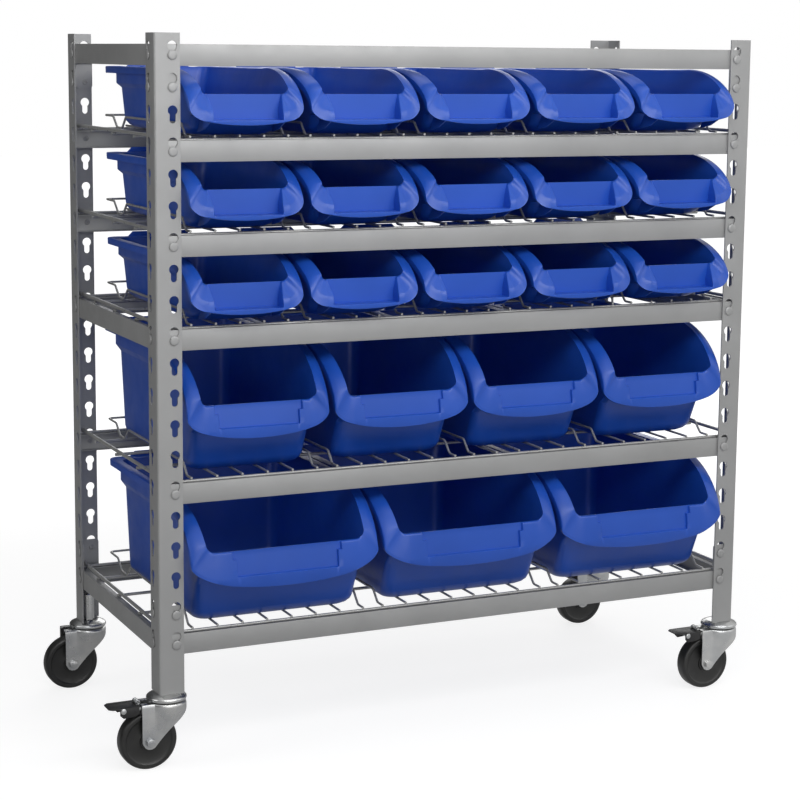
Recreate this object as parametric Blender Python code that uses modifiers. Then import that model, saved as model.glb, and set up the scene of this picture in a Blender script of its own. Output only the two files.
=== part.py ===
# Mobile bin cart: a keyhole-post frame on four swivel casters, five wire decks and 22 hopper bins.
# Metres, +Z up, front towards -Y. The origin is on the floor, under the middle of the whole cart.

import math

import bmesh
import bpy
from mathutils import Matrix, Vector

# Frame
FRAME_WIDTH = 0.914
FRAME_DEPTH = 0.406
POST_FLANGE = 0.035
POST_SHEET = 0.002

# Clearances: between seated pieces, of a cutter past its surface, and of a weld into its neighbour
FIT_GAP = 0.0003
OVERRUN = 0.002
WELD = 0.0004
MERGE_DISTANCE = 0.00003
FLAT_ANGLE = math.radians(0.05)
SMOOTH_ANGLE = math.radians(35)

# Keyholes, counted down each flange from the top, and the post left below the last one
HOLE_COUNT = 20
HOLE_PITCH = 0.04115
HOLE_TOP = 0.0168
POST_FOOT = 0.07935
HOLE_INSET = 0.0245
HOLE_RADIUS = 0.006
SLOT_WIDTH = 0.0073
SLOT_DROP = 0.015
HOLE_SHOULDER_SHARE = 0.6
HOLE_CROWN_SHARE = 0.85

# Beams and the rivets that hook into the keyholes
BEAM_HEIGHT = 0.028
BEAM_SHEET = 0.0015
BEAM_LEDGE = 0.012
LEDGE_DROP = 0.002
STUD_DROP = 0.0115
STUD_SHANK_RADIUS = 0.003
STUD_HEAD_RADIUS = 0.0058
STUD_HEAD_HEIGHT = 0.0024
STUD_SIDES = 6
SHANK_SIDES = 3
GUSSET_MARGIN = 0.009

# Wire decks
ROD_RADIUS = 0.00225
SIDE_ROD_RADIUS = 0.0025
WIRE_RADIUS = 0.0016
WIRE_SIDES = 3
ROD_SIDES = 4
DECK_EDGE = 0.0085
SIDE_ROD_INSET = 0.012
ROD_END_INSET = 0.008
UNDER_ROD_YS = (0.118, 0.218, 0.318)
RAIL_RISE = 0.016
RAIL_FOOT_Y = 0.027
RAIL_TOP_Y = 0.043
RAIL_DIP_YS = (0.288, 0.306, 0.330, 0.350)
RAIL_STOP_Y = 0.390
RAIL_CLEARANCE = 0.002

# Bins, one row of values for each size
BIN_DEPTH = 0.380
BIN_WALL = 0.0025
BIN_CORNER = 0.012
BIN_RIM = 0.009
BIN_RIM_REACH = 0.0085
BIN_HANG_REACH = 0.018
BIN_LEDGE_REACH = 0.006
BIN_DRAFT = 0.003
BIN_REAR_DRAFT = 0.006
BIN_REAR_STEP = 0.003
BIN_SIDE_STRIP = 0.016
BIN_LIP_STRIP = 0.024
BIN_LIP_CORNER = 0.010
BIN_LIP_ROLL = 0.006
BIN_LIP_BULGE = 0.004
BIN_LIP_FLARE = 0.022
BIN_NECK_REACH = 0.010
SWEEP_LOW_ANGLE = 25
SWEEP_HIGH_ANGLE = 60
SWEEP_END_ANGLE = 90
BIN_SIZES = {
    "small": {
        "count": 5, "gap": 0.0038, "proud": 0.027, "height": 0.086, "setback": 0.054,
        "lip_low": 0.0138, "lip_rise": 0.0055, "lip_side": 0.033, "lip_top": 0.054,
        "lip_lean": 0.016, "lip_reach": 0.020, "ledge": 0.0565, "ledge_rise": 0.006,
        "bow": 0.014, "sweep_low": 0.028, "sweep_front": 0.012, "sweep": 0.122, "wires": 3,
    },
    "medium": {
        "count": 4, "gap": 0.002, "proud": 0.0115, "height": 0.163, "setback": 0.054,
        "lip_low": 0.0505, "lip_rise": 0.0095, "lip_side": 0.079, "lip_top": 0.097,
        "lip_lean": 0.006, "lip_reach": 0.010, "ledge": 0.125, "ledge_rise": 0.010,
        "bow": 0.010, "sweep_low": 0.070, "sweep_front": 0.010, "sweep": 0.130, "wires": 4,
    },
    "large": {
        "count": 3, "gap": 0.0024, "proud": 0.028, "height": 0.169, "setback": 0.054,
        "lip_low": 0.054, "lip_rise": 0.013, "lip_side": 0.083, "lip_top": 0.106,
        "lip_lean": 0.006, "lip_reach": 0.010, "ledge": 0.130, "ledge_rise": 0.010,
        "bow": 0.016, "sweep_low": 0.075, "sweep_front": 0.016, "sweep": 0.125, "wires": 6,
    },
}

# Casters
CASTER_HEIGHT = 0.102
CASTER_INSET = 0.014
CASTER_TRAIL = 0.028
FOOT_PLATE = 0.003
STEM_RADIUS = 0.010
STEM_HEIGHT = 0.042
STEM_SIDES = 8
RACE_RADIUS = 0.027
RACE_NECK_RADIUS = 0.021
RACE_HEIGHT = 0.0085
RACE_SIDES = 12
WHEEL_RADIUS = 0.040
WHEEL_WIDTH = 0.021
WHEEL_TREAD_WIDTH = 0.014
WHEEL_SHOULDER_RADIUS = 0.036
WHEEL_SIDES = 16
HUB_RADIUS = 0.013
HUB_WIDTH = 0.0245
AXLE_RADIUS = 0.004
AXLE_GAP = 0.0003
AXLE_SIDES = 8
BOLT_HEAD_RADIUS = 0.0065
BOLT_HEAD_HEIGHT = 0.0035
FORK_SHEET = 0.0022
FORK_SIDE_GAP = 0.0006
FORK_CROWN = 0.003
FORK_CROWN_RADIUS = 0.0265
FORK_TAIL = 0.011
FORK_NOSE = 0.012
FORK_NOSE_DROP = 0.010
FORK_EYE_RADIUS = 0.010

# Brake pedals, on the front casters
PEDAL_LENGTH = 0.043
PEDAL_WIDTH = 0.031
PEDAL_SHEET = 0.0018
PEDAL_DROP = 0.010
PEDAL_GAP = 0.002
PEDAL_CHEEK_DEPTH = 0.0145
PEDAL_CHEEK_LENGTH = 0.028
PEDAL_PIVOT_BACK = 0.0235
PEDAL_PIVOT_DROP = 0.0045
PEDAL_PIN_RADIUS = 0.0022
PEDAL_PIN_HEAD_RADIUS = 0.0038
PEDAL_PIN_HEAD = 0.0012
PEDAL_PIN_SIDES = 6
BRAKE_ARM_RADIUS = 0.0024

# Rows, from the top: the keyhole that the beams hook into, and what stands on the deck there
ROWS = (
    {"hole": 0, "side_beams": True, "spare_hole": 1, "bins": None},
    {"hole": 3, "side_beams": False, "spare_hole": None, "bins": "small"},
    {"hole": 6, "side_beams": False, "spare_hole": None, "bins": "small"},
    {"hole": 9, "side_beams": True, "spare_hole": None, "bins": "small"},
    {"hole": 14, "side_beams": False, "spare_hole": None, "bins": "medium"},
    {"hole": 19, "side_beams": True, "spare_hole": 18, "bins": "large"},
)

# Heights and places worked out from the values above
HALF_WIDTH = FRAME_WIDTH / 2
POST_LENGTH = HOLE_TOP + (HOLE_COUNT - 1) * HOLE_PITCH + POST_FOOT
POST_TOP = CASTER_HEIGHT + POST_LENGTH
BEAM_FACE = POST_SHEET + FIT_GAP
SIDE_BEAM_START = BEAM_FACE + BEAM_LEDGE + FIT_GAP
SWIVEL_X = HALF_WIDTH - CASTER_INSET
FRONT_SWIVEL_Y = CASTER_INSET
REAR_SWIVEL_Y = FRAME_DEPTH - CASTER_INSET
WHEEL_LEFT = -SWIVEL_X - CASTER_TRAIL - WHEEL_RADIUS
PEDAL_LEFT = -SWIVEL_X - CASTER_TRAIL - FORK_TAIL - PEDAL_GAP - PEDAL_LENGTH
CART_LEFT = min(WHEEL_LEFT, PEDAL_LEFT)
CART_RIGHT = max(HALF_WIDTH, SWIVEL_X + RACE_RADIUS)
BIN_BAY = FRAME_WIDTH - 2 * POST_FLANGE
CART_FRONT = -max(RACE_RADIUS - CASTER_INSET, *(size["proud"] for size in BIN_SIZES.values()))
CART_REAR = FRAME_DEPTH + max(0, RACE_RADIUS - CASTER_INSET)
CART_OFFSET = Vector((-(CART_LEFT + CART_RIGHT) / 2, -(CART_FRONT + CART_REAR) / 2, 0))


def hole_height(index):
    """Height of a keyhole's round head above the floor."""
    return POST_TOP - HOLE_TOP - index * HOLE_PITCH


def beam_bottom(row):
    """A beam's rivets are halfway up its web."""
    return hole_height(row["hole"]) - STUD_DROP - BEAM_HEIGHT / 2


def ledge_height(row):
    return beam_bottom(row) + BEAM_HEIGHT - LEDGE_DROP


def rod_height(row):
    return ledge_height(row) + FIT_GAP + ROD_RADIUS


def wire_height(row):
    """The wires lie on the rear under-rod, which carries them, and just clear the other rods."""
    return rod_height(row) + FIT_GAP + ROD_RADIUS + WIRE_RADIUS


def bin_floor(row):
    """The wires have a flat side up, which the bins stand on."""
    return wire_height(row) + WIRE_RADIUS * math.cos(math.pi / WIRE_SIDES) + FIT_GAP


# Tools

def clear_scene():
    for old in list(bpy.data.objects):
        bpy.data.objects.remove(old, do_unlink=True)


def new_collection(name):
    collection = bpy.data.collections.new(name)
    bpy.context.scene.collection.children.link(collection)
    return collection


def material(name, colour, roughness, metallic):
    paint = bpy.data.materials.new(name)
    paint.use_nodes = True
    shader = paint.node_tree.nodes["Principled BSDF"]
    shader.inputs["Base Color"].default_value = (*colour, 1)
    shader.inputs["Roughness"].default_value = roughness
    shader.inputs["Metallic"].default_value = metallic
    paint.diffuse_color = (*colour, 1)
    return paint


def mesh_from(bm, name):
    bmesh.ops.recalc_face_normals(bm, faces=bm.faces)
    mesh = bpy.data.meshes.new(name)
    bm.to_mesh(mesh)
    bm.free()
    return mesh


def temporary(shape, collection):
    """An object that only lends its shape."""
    guide = bpy.data.objects.new(shape.name, shape)
    guide.hide_render = True
    guide.display_type = "WIRE"
    collection.objects.link(guide)
    return guide


def evaluated_mesh(guide, name, place=Matrix.Identity(4)):
    """A guide's final shape as a welded mesh, with flat areas in one face each. The guide is removed."""
    bpy.context.view_layer.update()
    depsgraph = bpy.context.evaluated_depsgraph_get()
    raw = bpy.data.meshes.new_from_object(guide.evaluated_get(depsgraph))
    bm = bmesh.new()
    bm.from_mesh(raw)
    bmesh.ops.remove_doubles(bm, verts=bm.verts, dist=MERGE_DISTANCE)
    bmesh.ops.dissolve_degenerate(bm, dist=MERGE_DISTANCE, edges=bm.edges)
    bmesh.ops.dissolve_limit(bm, angle_limit=FLAT_ANGLE, verts=bm.verts, edges=bm.edges)
    bmesh.ops.transform(bm, matrix=place, verts=bm.verts)
    bpy.data.meshes.remove(raw)
    bpy.data.objects.remove(guide, do_unlink=True)
    return mesh_from(bm, name)


def prism(name, outline, low, high, place, cutters):
    """A flat outline in X and Y, drawn out along Z from low to high, then placed."""
    curve = bpy.data.curves.new(name, "CURVE")
    curve.dimensions = "2D"
    curve.fill_mode = "BOTH"
    curve.extrude = (high - low) / 2
    spline = curve.splines.new("POLY")
    spline.points.add(len(outline) - 1)
    spline.use_cyclic_u = True
    for point, (x, y) in zip(spline.points, outline):
        point.co = (x, y, 0, 1)
    middle = Matrix.Translation((0, 0, (high + low) / 2))
    return evaluated_mesh(temporary(curve, cutters), name, place @ middle)


def block(name, low, high):
    """A box between two corners."""
    bm = bmesh.new()
    size = Vector(high) - Vector(low)
    middle = (Vector(high) + Vector(low)) / 2
    place = Matrix.Translation(middle) @ Matrix.Diagonal((*size, 1))
    bmesh.ops.create_cube(bm, size=1, matrix=place)
    return mesh_from(bm, name)


def turned(name, profile, sides, place, cutters, phase=0):
    """A profile of (radius, height) points turned about Z. Points on the axis close it."""
    chain = bpy.data.meshes.new(name)
    start = Matrix.Rotation(phase, 3, "Z")
    points = [start @ Vector((radius, 0, height)) for radius, height in profile]
    edges = [(n, n + 1) for n in range(len(points) - 1)]
    if profile[0][0] > 0:
        edges.append((len(points) - 1, 0))
    chain.from_pydata(points, edges, [])
    guide = temporary(chain, cutters)
    screw = guide.modifiers.new("turn", "SCREW")
    screw.steps = screw.render_steps = sides
    screw.use_merge_vertices = True
    screw.merge_threshold = MERGE_DISTANCE
    return evaluated_mesh(guide, name, place)


def along_y(x, y, z):
    """Turns a shape drawn along Z so that it runs towards -Y, and moves it."""
    return Matrix.Translation((x, y, z)) @ Matrix.Rotation(math.pi / 2, 4, "X")


def combined(name, base, others, cutters, operation="UNION"):
    """The base mesh joined with, or cut by, the other meshes."""
    solid = temporary(base, cutters)
    helpers = [temporary(other, cutters) for other in others]
    for helper in helpers:
        step = solid.modifiers.new(helper.name, "BOOLEAN")
        step.operation = operation
        step.solver = "EXACT"
        step.object = helper
    result = evaluated_mesh(solid, name)
    for helper in helpers:
        bpy.data.objects.remove(helper, do_unlink=True)
    return result


def wires(name, paths, radius, sides, cutters):
    """Bent wires of one gauge, as a mesh: each path is one wire with closed ends."""
    section = bpy.data.curves.new(name + "_section", "CURVE")
    ring = section.splines.new("POLY")
    ring.points.add(sides - 1)
    ring.use_cyclic_u = True
    for n, point in enumerate(ring.points):
        turn = math.tau * n / sides - math.pi / 2
        point.co = (radius * math.cos(turn), radius * math.sin(turn), 0, 1)
    guide = temporary(section, cutters)
    curve = bpy.data.curves.new(name, "CURVE")
    curve.dimensions = "3D"
    curve.twist_mode = "Z_UP"
    curve.bevel_mode = "OBJECT"
    curve.bevel_object = guide
    curve.use_fill_caps = True
    for path in paths:
        spline = curve.splines.new("POLY")
        spline.points.add(len(path) - 1)
        for point, place in zip(spline.points, path):
            point.co = (*place, 1)
    mesh = evaluated_mesh(temporary(curve, cutters), name)
    bpy.data.objects.remove(guide, do_unlink=True)
    return mesh


def add(name, mesh, paint, collection, parent, location=(0, 0, 0), turn=0):
    """A finished piece, with its origin at its own place."""
    if not mesh.materials:
        mesh.materials.append(paint)
        mesh.shade_smooth()
        mesh.set_sharp_from_angle(angle=SMOOTH_ANGLE)
    piece = bpy.data.objects.new(name, mesh)
    piece.location = location
    piece.rotation_euler = (0, 0, turn)
    piece.parent = parent
    collection.objects.link(piece)
    return piece


def anchor(name, location, parent, collection):
    """An empty that carries pieces."""
    empty = bpy.data.objects.new(name, None)
    empty.location = location
    empty.parent = parent
    collection.objects.link(empty)
    return empty


# Posts

def keyhole_outline():
    """Seen from outside the flange, with its head's centre at zero: sideways, then up."""
    crown = HOLE_RADIUS * HOLE_SHOULDER_SHARE, HOLE_RADIUS * HOLE_CROWN_SHARE
    right = [(crown[0], crown[1]), (HOLE_RADIUS, 0), (SLOT_WIDTH / 2, -SLOT_DROP)]
    return right + [(-x, z) for x, z in reversed(right)]


def keyhole_cutters(cutters):
    """One row of prisms through each flange of the post that has its corner at zero."""
    through = -POST_SHEET - OVERRUN
    hole = prism("keyhole", keyhole_outline(), through, OVERRUN, along_y(HOLE_INSET, 0, 0), cutters)
    to_other_flange = Matrix.Rotation(math.pi / 2, 4, "Z") @ Matrix.Scale(-1, 4, (0, 1, 0))
    bm = bmesh.new()
    for flange in (Matrix.Identity(4), to_other_flange):
        for index in range(HOLE_COUNT):
            row = hole.copy()
            row.transform(Matrix.Translation((0, 0, hole_height(index) - CASTER_HEIGHT)) @ flange)
            bm.from_mesh(row)
    return mesh_from(bm, "keyholes")


def post_mesh(cutters):
    """An angle post with its outer corner at zero, and the fixed half of its caster."""
    angle = [(0, 0), (POST_FLANGE, 0), (POST_FLANGE, POST_SHEET), (POST_SHEET, POST_SHEET),
             (POST_SHEET, POST_FLANGE), (0, POST_FLANGE)]
    bar = prism("angle", angle, 0, POST_LENGTH, Matrix.Identity(4), cutters)
    punched = combined("punched", bar, [keyhole_cutters(cutters)], cutters, "DIFFERENCE")
    plate = block("foot_plate", (POST_SHEET / 2, POST_SHEET / 2, WELD),
                  (POST_FLANGE - WELD, POST_FLANGE - WELD, FOOT_PLATE))
    place = Matrix.Translation((CASTER_INSET, CASTER_INSET, 0))
    stem = turned("stem_sleeve", [(0, FOOT_PLATE - WELD), (STEM_RADIUS, FOOT_PLATE - WELD),
                                  (STEM_RADIUS, STEM_HEIGHT), (0, STEM_HEIGHT)], STEM_SIDES, place, cutters)
    race = turned("upper_race", [(0, 2 * WELD), (RACE_NECK_RADIUS, 2 * WELD), (RACE_RADIUS, -RACE_HEIGHT / 2),
                                 (RACE_RADIUS, -RACE_HEIGHT), (0, -RACE_HEIGHT)], RACE_SIDES, place, cutters)
    return combined("post", punched, [plate, stem, race], cutters)


def add_posts(paint, collection, parent, cutters):
    mesh = post_mesh(cutters)
    corners = {
        "front_left": (-HALF_WIDTH, 0, 0),
        "front_right": (HALF_WIDTH, 0, math.pi / 2),
        "rear_right": (HALF_WIDTH, FRAME_DEPTH, math.pi),
        "rear_left": (-HALF_WIDTH, FRAME_DEPTH, -math.pi / 2),
    }
    for corner, (x, y, turn) in corners.items():
        add("post_" + corner, mesh, paint, collection, parent, (x, y, CASTER_HEIGHT), turn)


# Beams

def stud(x, z, cutters):
    """A rivet with its foot in a web whose outer face is at zero, pointing to -Y."""
    back = BEAM_FACE + FIT_GAP
    foot, end = -BEAM_SHEET / 2, back + WELD
    shank = [(0, foot), (STUD_SHANK_RADIUS, foot), (STUD_SHANK_RADIUS, end), (0, end)]
    head = [(0, back), (STUD_HEAD_RADIUS, back), (0, back + STUD_HEAD_HEIGHT)]
    place = along_y(x, 0, z)
    return [turned("stud_shank", shank, SHANK_SIDES, place, cutters, math.pi / 2),
            turned("stud_head", head, STUD_SIDES, place, cutters)]


def beam_mesh(length, start, gusset, cutters):
    """A beam along X with its web's outer face at zero. Start is its end's inset from the post's corner."""
    ledge = BEAM_HEIGHT - LEDGE_DROP
    section = [(0, 0), (BEAM_SHEET, 0), (BEAM_SHEET, ledge - BEAM_SHEET), (BEAM_LEDGE, ledge - BEAM_SHEET),
               (BEAM_LEDGE, ledge), (BEAM_SHEET, ledge), (BEAM_SHEET, BEAM_HEIGHT), (0, BEAM_HEIGHT)]
    upright = Matrix.Rotation(math.pi / 2, 4, "Z") @ Matrix.Rotation(math.pi / 2, 4, "X")
    bar = prism("bar", section, -length / 2, length / 2, upright, cutters)
    reach = length / 2 + start - HOLE_INSET
    middle = BEAM_HEIGHT / 2
    extras = []
    for side in (-1, 1):
        extras += stud(side * reach, middle, cutters)
        if gusset:
            near, far = sorted((side * (length / 2 - WELD), side * (reach - GUSSET_MARGIN)))
            stud_height = middle + gusset * HOLE_PITCH
            low, high = sorted((middle, stud_height + gusset * GUSSET_MARGIN))
            extras.append(block("gusset", (near, WELD / 2, low), (far, BEAM_SHEET - WELD / 2, high)))
            extras += stud(side * reach, stud_height, cutters)
    return combined("beam", bar, extras, cutters)


def add_beams(paint, collection, parent, cutters):
    long_length = FRAME_WIDTH - 2 * BEAM_FACE
    side_length = FRAME_DEPTH - 2 * SIDE_BEAM_START
    meshes = {}
    for number, row in enumerate(ROWS, 1):
        gusset = row["hole"] - row["spare_hole"] if row["spare_hole"] is not None else 0
        if gusset not in meshes:
            meshes[gusset] = (
                beam_mesh(long_length, BEAM_FACE, gusset, cutters),
                beam_mesh(side_length, SIDE_BEAM_START, gusset, cutters),
            )
        long_beam, side_beam = meshes[gusset]
        height = beam_bottom(row)
        add(f"beam_front_{number}", long_beam, paint, collection, parent, (0, BEAM_FACE, height))
        add(f"beam_rear_{number}", long_beam, paint, collection, parent,
            (0, FRAME_DEPTH - BEAM_FACE, height), math.pi)
        if row["side_beams"]:
            add(f"beam_left_{number}", side_beam, paint, collection, parent,
                (-HALF_WIDTH + BEAM_FACE, FRAME_DEPTH / 2, height), -math.pi / 2)
            add(f"beam_right_{number}", side_beam, paint, collection, parent,
                (HALF_WIDTH - BEAM_FACE, FRAME_DEPTH / 2, height), math.pi / 2)


# Wire decks

def bin_pitch(size):
    """The bins of a row share the room between the posts."""
    return BIN_BAY / size["count"]


def bin_width(size):
    return bin_pitch(size) - size["gap"]


def bin_centres(size):
    return [(n + (1 - size["count"]) / 2) * bin_pitch(size) for n in range(size["count"])]


def body_half(size):
    """Half the width of a bin's floor."""
    return bin_width(size) / 2 - BIN_RIM_REACH - BIN_LEDGE_REACH - BIN_DRAFT


def rail_half(size):
    return body_half(size) + RAIL_CLEARANCE + WIRE_RADIUS


def rail_path(centre, half, level):
    """The raised wire round one bin: up at the front, dipped to the rear under-rod, across the back."""
    foot, top = RAIL_FOOT_Y, RAIL_TOP_Y
    dip_start, low_front, low_rear, dip_end = RAIL_DIP_YS
    high = level + RAIL_RISE
    side = [(deck_front(), level), (foot, level), (top, high), (dip_start, high), (low_front, level),
            (low_rear, level), (dip_end, high), (RAIL_STOP_Y, high)]
    out = [(centre - half, y, z) for y, z in side]
    back = [(centre + half, y, z) for y, z in reversed(side)]
    return out + back


def deck_front():
    """The wires' tips, flush with the front rod."""
    return BEAM_FACE + DECK_EDGE - ROD_RADIUS


def deck_mesh(kind, cutters):
    """One welded wire deck, with zero at the height of its front rod's axis."""
    size = BIN_SIZES[kind]
    level = wire_height(ROWS[0]) - rod_height(ROWS[0])
    end = HALF_WIDTH - ROD_END_INSET
    front, rear = BEAM_FACE + DECK_EDGE, FRAME_DEPTH - BEAM_FACE - DECK_EDGE
    under_heights = (0, 0, FIT_GAP + WELD)
    rods = [[(-end, y, 0), (end, y, 0)] for y in (front, rear)]
    rods += [[(-end, y, z), (end, y, z)] for y, z in zip(UNDER_ROD_YS, under_heights)]
    side_level = ROD_RADIUS + SIDE_ROD_RADIUS - WELD
    side_x = HALF_WIDTH - SIDE_ROD_INSET
    sides = [[(x, front - ROD_RADIUS, side_level), (x, rear + ROD_RADIUS, side_level)]
             for x in (-side_x, side_x)]
    half = rail_half(size)
    straight, rails = [], []
    for centre in bin_centres(size):
        rails.append(rail_path(centre, half, level))
        for n in range(size["wires"]):
            x = centre + half * (2 * (n + 1) / (size["wires"] + 1) - 1)
            straight.append([(x, deck_front(), level), (x, rear + ROD_RADIUS, level)])
    return combined(
        "deck_" + kind,
        wires("rods", rods, ROD_RADIUS, ROD_SIDES, cutters),
        [
            wires("side_rods", sides, SIDE_ROD_RADIUS, ROD_SIDES, cutters),
            wires("straight_wires", straight, WIRE_RADIUS, WIRE_SIDES, cutters),
            wires("rails", rails, WIRE_RADIUS, WIRE_SIDES, cutters),
        ],
        cutters,
    )


def add_decks(paint, collection, parent, cutters):
    meshes = {}
    shelves = [row for row in ROWS if row["bins"]]
    for number, row in enumerate(shelves, 1):
        kind = row["bins"]
        if kind not in meshes:
            meshes[kind] = deck_mesh(kind, cutters)
        add(f"deck_{number}", meshes[kind], paint, collection, parent, (0, 0, rod_height(row)))


# Bins

def bin_rings(size):
    """The loops that a bin is lofted through, from its underside over the rim to its inside floor.

    Each loop's points are named by the column of the right half that they stand in: 1 is the front
    corner, 2 to 4 sweep up the cut-away side, 5 and 6 are the rear corner."""
    half, top, lip_top, lip_side = bin_width(size) / 2, size["height"], size["lip_top"], size["lip_side"]
    lip_reach, setback, bow, sweep_low = size["lip_reach"], size["setback"], size["bow"], size["sweep_low"]
    band = half - BIN_RIM_REACH
    body = band - BIN_LEDGE_REACH
    floor_half = body_half(size)
    corner = BIN_CORNER
    band_rear = BIN_DEPTH - BIN_HANG_REACH
    body_rear = band_rear - BIN_REAR_STEP
    floor_rear = body_rear - BIN_REAR_DRAFT
    lean = (lip_reach - setback) / lip_top
    wall = BIN_WALL

    def front_wall(z):
        return setback + lean * z

    def sweep(degrees, inset=0):
        """A point on the side's curved edge, or that far below the edge."""
        turn = math.radians(degrees)
        y = size["sweep_front"] + size["sweep"] * (1 - math.cos(turn)) + inset * math.cos(turn)
        return y, sweep_low + (top - sweep_low - inset) * math.sin(turn)

    def swept_columns(x, inset=0):
        angles = {2.5: SWEEP_LOW_ANGLE, 3: SWEEP_HIGH_ANGLE, 4: SWEEP_END_ANGLE}
        return {column: (x, *sweep(angle, inset)) for column, angle in angles.items()}

    def box_ring(x, front, rear, z):
        return {1: (x - corner, front, z), 2: (x, front + corner, z),
                5: (x, rear - corner, z), 6: (x - corner, rear, z)}

    def ledge_ring(x, front_x, rear, drop, z):
        """Level along the side and the rear, and down at the front to just under the lip."""
        low = lip_side - BIN_LIP_ROLL - drop
        ring = box_ring(x, 0, rear, z)
        ring[1] = (front_x - corner, front_wall(low), low)
        ring[2] = (front_x, front_wall(low) + corner, low)
        ring[3] = (x, sweep(SWEEP_HIGH_ANGLE, BIN_RIM)[0], z)
        return ring

    under = box_ring(floor_half, setback, floor_rear, 0)
    ledge_low = ledge_ring(body, floor_half, body_rear, size["ledge_rise"], size["ledge"])
    ledge_high = ledge_ring(band, body, band_rear, 0, size["ledge"] + size["ledge_rise"])
    mouth_corner, roll_low = half - BIN_LIP_STRIP - BIN_LIP_CORNER / 2, lip_top - BIN_LIP_ROLL
    neck = {
        1: (mouth_corner, front_wall(roll_low), roll_low),
        2: (band, bow + BIN_NECK_REACH, lip_side - BIN_LIP_BULGE), **swept_columns(band, BIN_RIM),
        5: (band, band_rear - corner, top - BIN_RIM), 6: (band - corner, band_rear, top - BIN_RIM),
    }
    skirt = {
        0: (0, 0, size["lip_low"]),
        1: (half - BIN_LIP_FLARE, 0, size["lip_low"] + size["lip_rise"]),
        2: (half, bow, lip_side - BIN_RIM), **swept_columns(half, BIN_RIM),
        5: (half, BIN_DEPTH - corner, top - BIN_RIM), 6: (half - corner, BIN_DEPTH, top - BIN_RIM),
    }
    brow = {
        1: (half - BIN_LIP_FLARE, size["lip_lean"], roll_low),
        2: (half, bow, lip_side + BIN_LIP_BULGE), **swept_columns(half),
        5: (half, BIN_DEPTH - corner, top), 6: (half - corner, BIN_DEPTH, top),
    }
    mouth_half = half - BIN_SIDE_STRIP
    corner_share = (lip_top + BIN_LIP_CORNER - sweep_low) / (top - sweep_low)
    corner_angle = math.degrees(math.asin(min(corner_share, math.sin(math.radians(SWEEP_HIGH_ANGLE)))))
    mouth = {
        1: (mouth_corner, lip_reach + wall, lip_top),
        2: (half - BIN_LIP_STRIP, *sweep(corner_angle)),
        **swept_columns(mouth_half), 2.5: (mouth_half - wall, *sweep((corner_angle + SWEEP_HIGH_ANGLE) / 2)),
        5: (mouth_half, band_rear - wall - corner, top), 6: (mouth_half - corner, band_rear - wall, top),
    }
    inside = box_ring(floor_half - wall, setback + wall, floor_rear - wall, wall)
    return [under, ledge_low, ledge_high, neck, skirt, brow, mouth, inside]


def full_ring(half_ring):
    """Both halves of a loop in order round the bin, as (column, point); left columns are negative."""
    right = sorted(half_ring.items())
    left = [(-key, (-x, y, z)) for key, (x, y, z) in reversed(right) if key]
    return right + left


def loft(bm, low, high):
    """Faces between two loops. Columns that only one loop has become corners of a wider face."""
    high_keys = [key for key, _ in high]
    shared = [key for key, _ in low if key in high_keys]

    def span(ring, first, last):
        keys = [key for key, _ in ring]
        start, stop = keys.index(first), keys.index(last)
        stop += len(ring) if stop <= start else 0
        return [ring[n % len(ring)][1] for n in range(start, stop + 1)]

    for first, last in zip(shared, shared[1:] + shared[:1]):
        bm.faces.new(span(low, first, last) + span(high, first, last)[::-1])


def bin_mesh(kind):
    bm = bmesh.new()
    rings = [[(key, bm.verts.new(place)) for key, place in full_ring(ring)]
             for ring in bin_rings(BIN_SIZES[kind])]
    bm.faces.new([vert for _, vert in rings[0]])
    bm.faces.new([vert for _, vert in rings[-1]])
    for low, high in zip(rings, rings[1:]):
        loft(bm, low, high)
    return mesh_from(bm, "bin_" + kind)


def add_bins(paint, collection, parent):
    counts = {}
    meshes = {kind: bin_mesh(kind) for kind in BIN_SIZES}
    for row in ROWS:
        kind = row["bins"]
        if not kind:
            continue
        for centre in bin_centres(BIN_SIZES[kind]):
            counts[kind] = counts.get(kind, 0) + 1
            add(f"bin_{kind}_{counts[kind]:02d}", meshes[kind], paint, collection, parent,
                (centre, -BIN_SIZES[kind]["proud"], bin_floor(row)))


# Casters: drawn with the swivel axis at zero, the floor at zero and the wheel trailing to -X

def fork_half_width():
    return HUB_WIDTH / 2 + FORK_SIDE_GAP + FORK_SHEET


def wheel_mesh(cutters):
    """Flats, not corners, meet the floor, so the radius is that of the flats."""
    grow = 1 / math.cos(math.pi / WHEEL_SIDES)
    half = [(AXLE_RADIUS + AXLE_GAP, HUB_WIDTH / 2), (HUB_RADIUS, HUB_WIDTH / 2),
            (WHEEL_SHOULDER_RADIUS, WHEEL_WIDTH / 2), (WHEEL_RADIUS * grow, WHEEL_TREAD_WIDTH / 2)]
    profile = half + [(radius, -y) for radius, y in reversed(half)]
    return turned("wheel", profile, WHEEL_SIDES, along_y(0, 0, 0), cutters, math.pi / WHEEL_SIDES)


def fork_top():
    return CASTER_HEIGHT - RACE_HEIGHT - FIT_GAP


def leg_outline():
    """One cheek of the fork, seen from the front: X, then height."""
    top = fork_top() - WELD
    nose_low = fork_top() - FORK_CROWN - FORK_NOSE_DROP
    tail = -CASTER_TRAIL - FORK_TAIL
    eye = [(-CASTER_TRAIL + FORK_EYE_RADIUS * math.cos(math.radians(a)),
            WHEEL_RADIUS + FORK_EYE_RADIUS * math.sin(math.radians(a))) for a in (-180, -135, -90, -45, -10)]
    return [(tail, top), *eye, (FORK_NOSE, nose_low), (FORK_NOSE, top)]


def pedal_pivot():
    """X and height of the brake's rivet."""
    x = -CASTER_TRAIL - FORK_TAIL - PEDAL_GAP - PEDAL_PIVOT_BACK
    return x, CASTER_HEIGHT - PEDAL_DROP - PEDAL_PIVOT_DROP


def cheek_gap():
    """Half the room between the pedal's cheeks."""
    return PEDAL_WIDTH / 2 - PEDAL_SHEET


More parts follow.
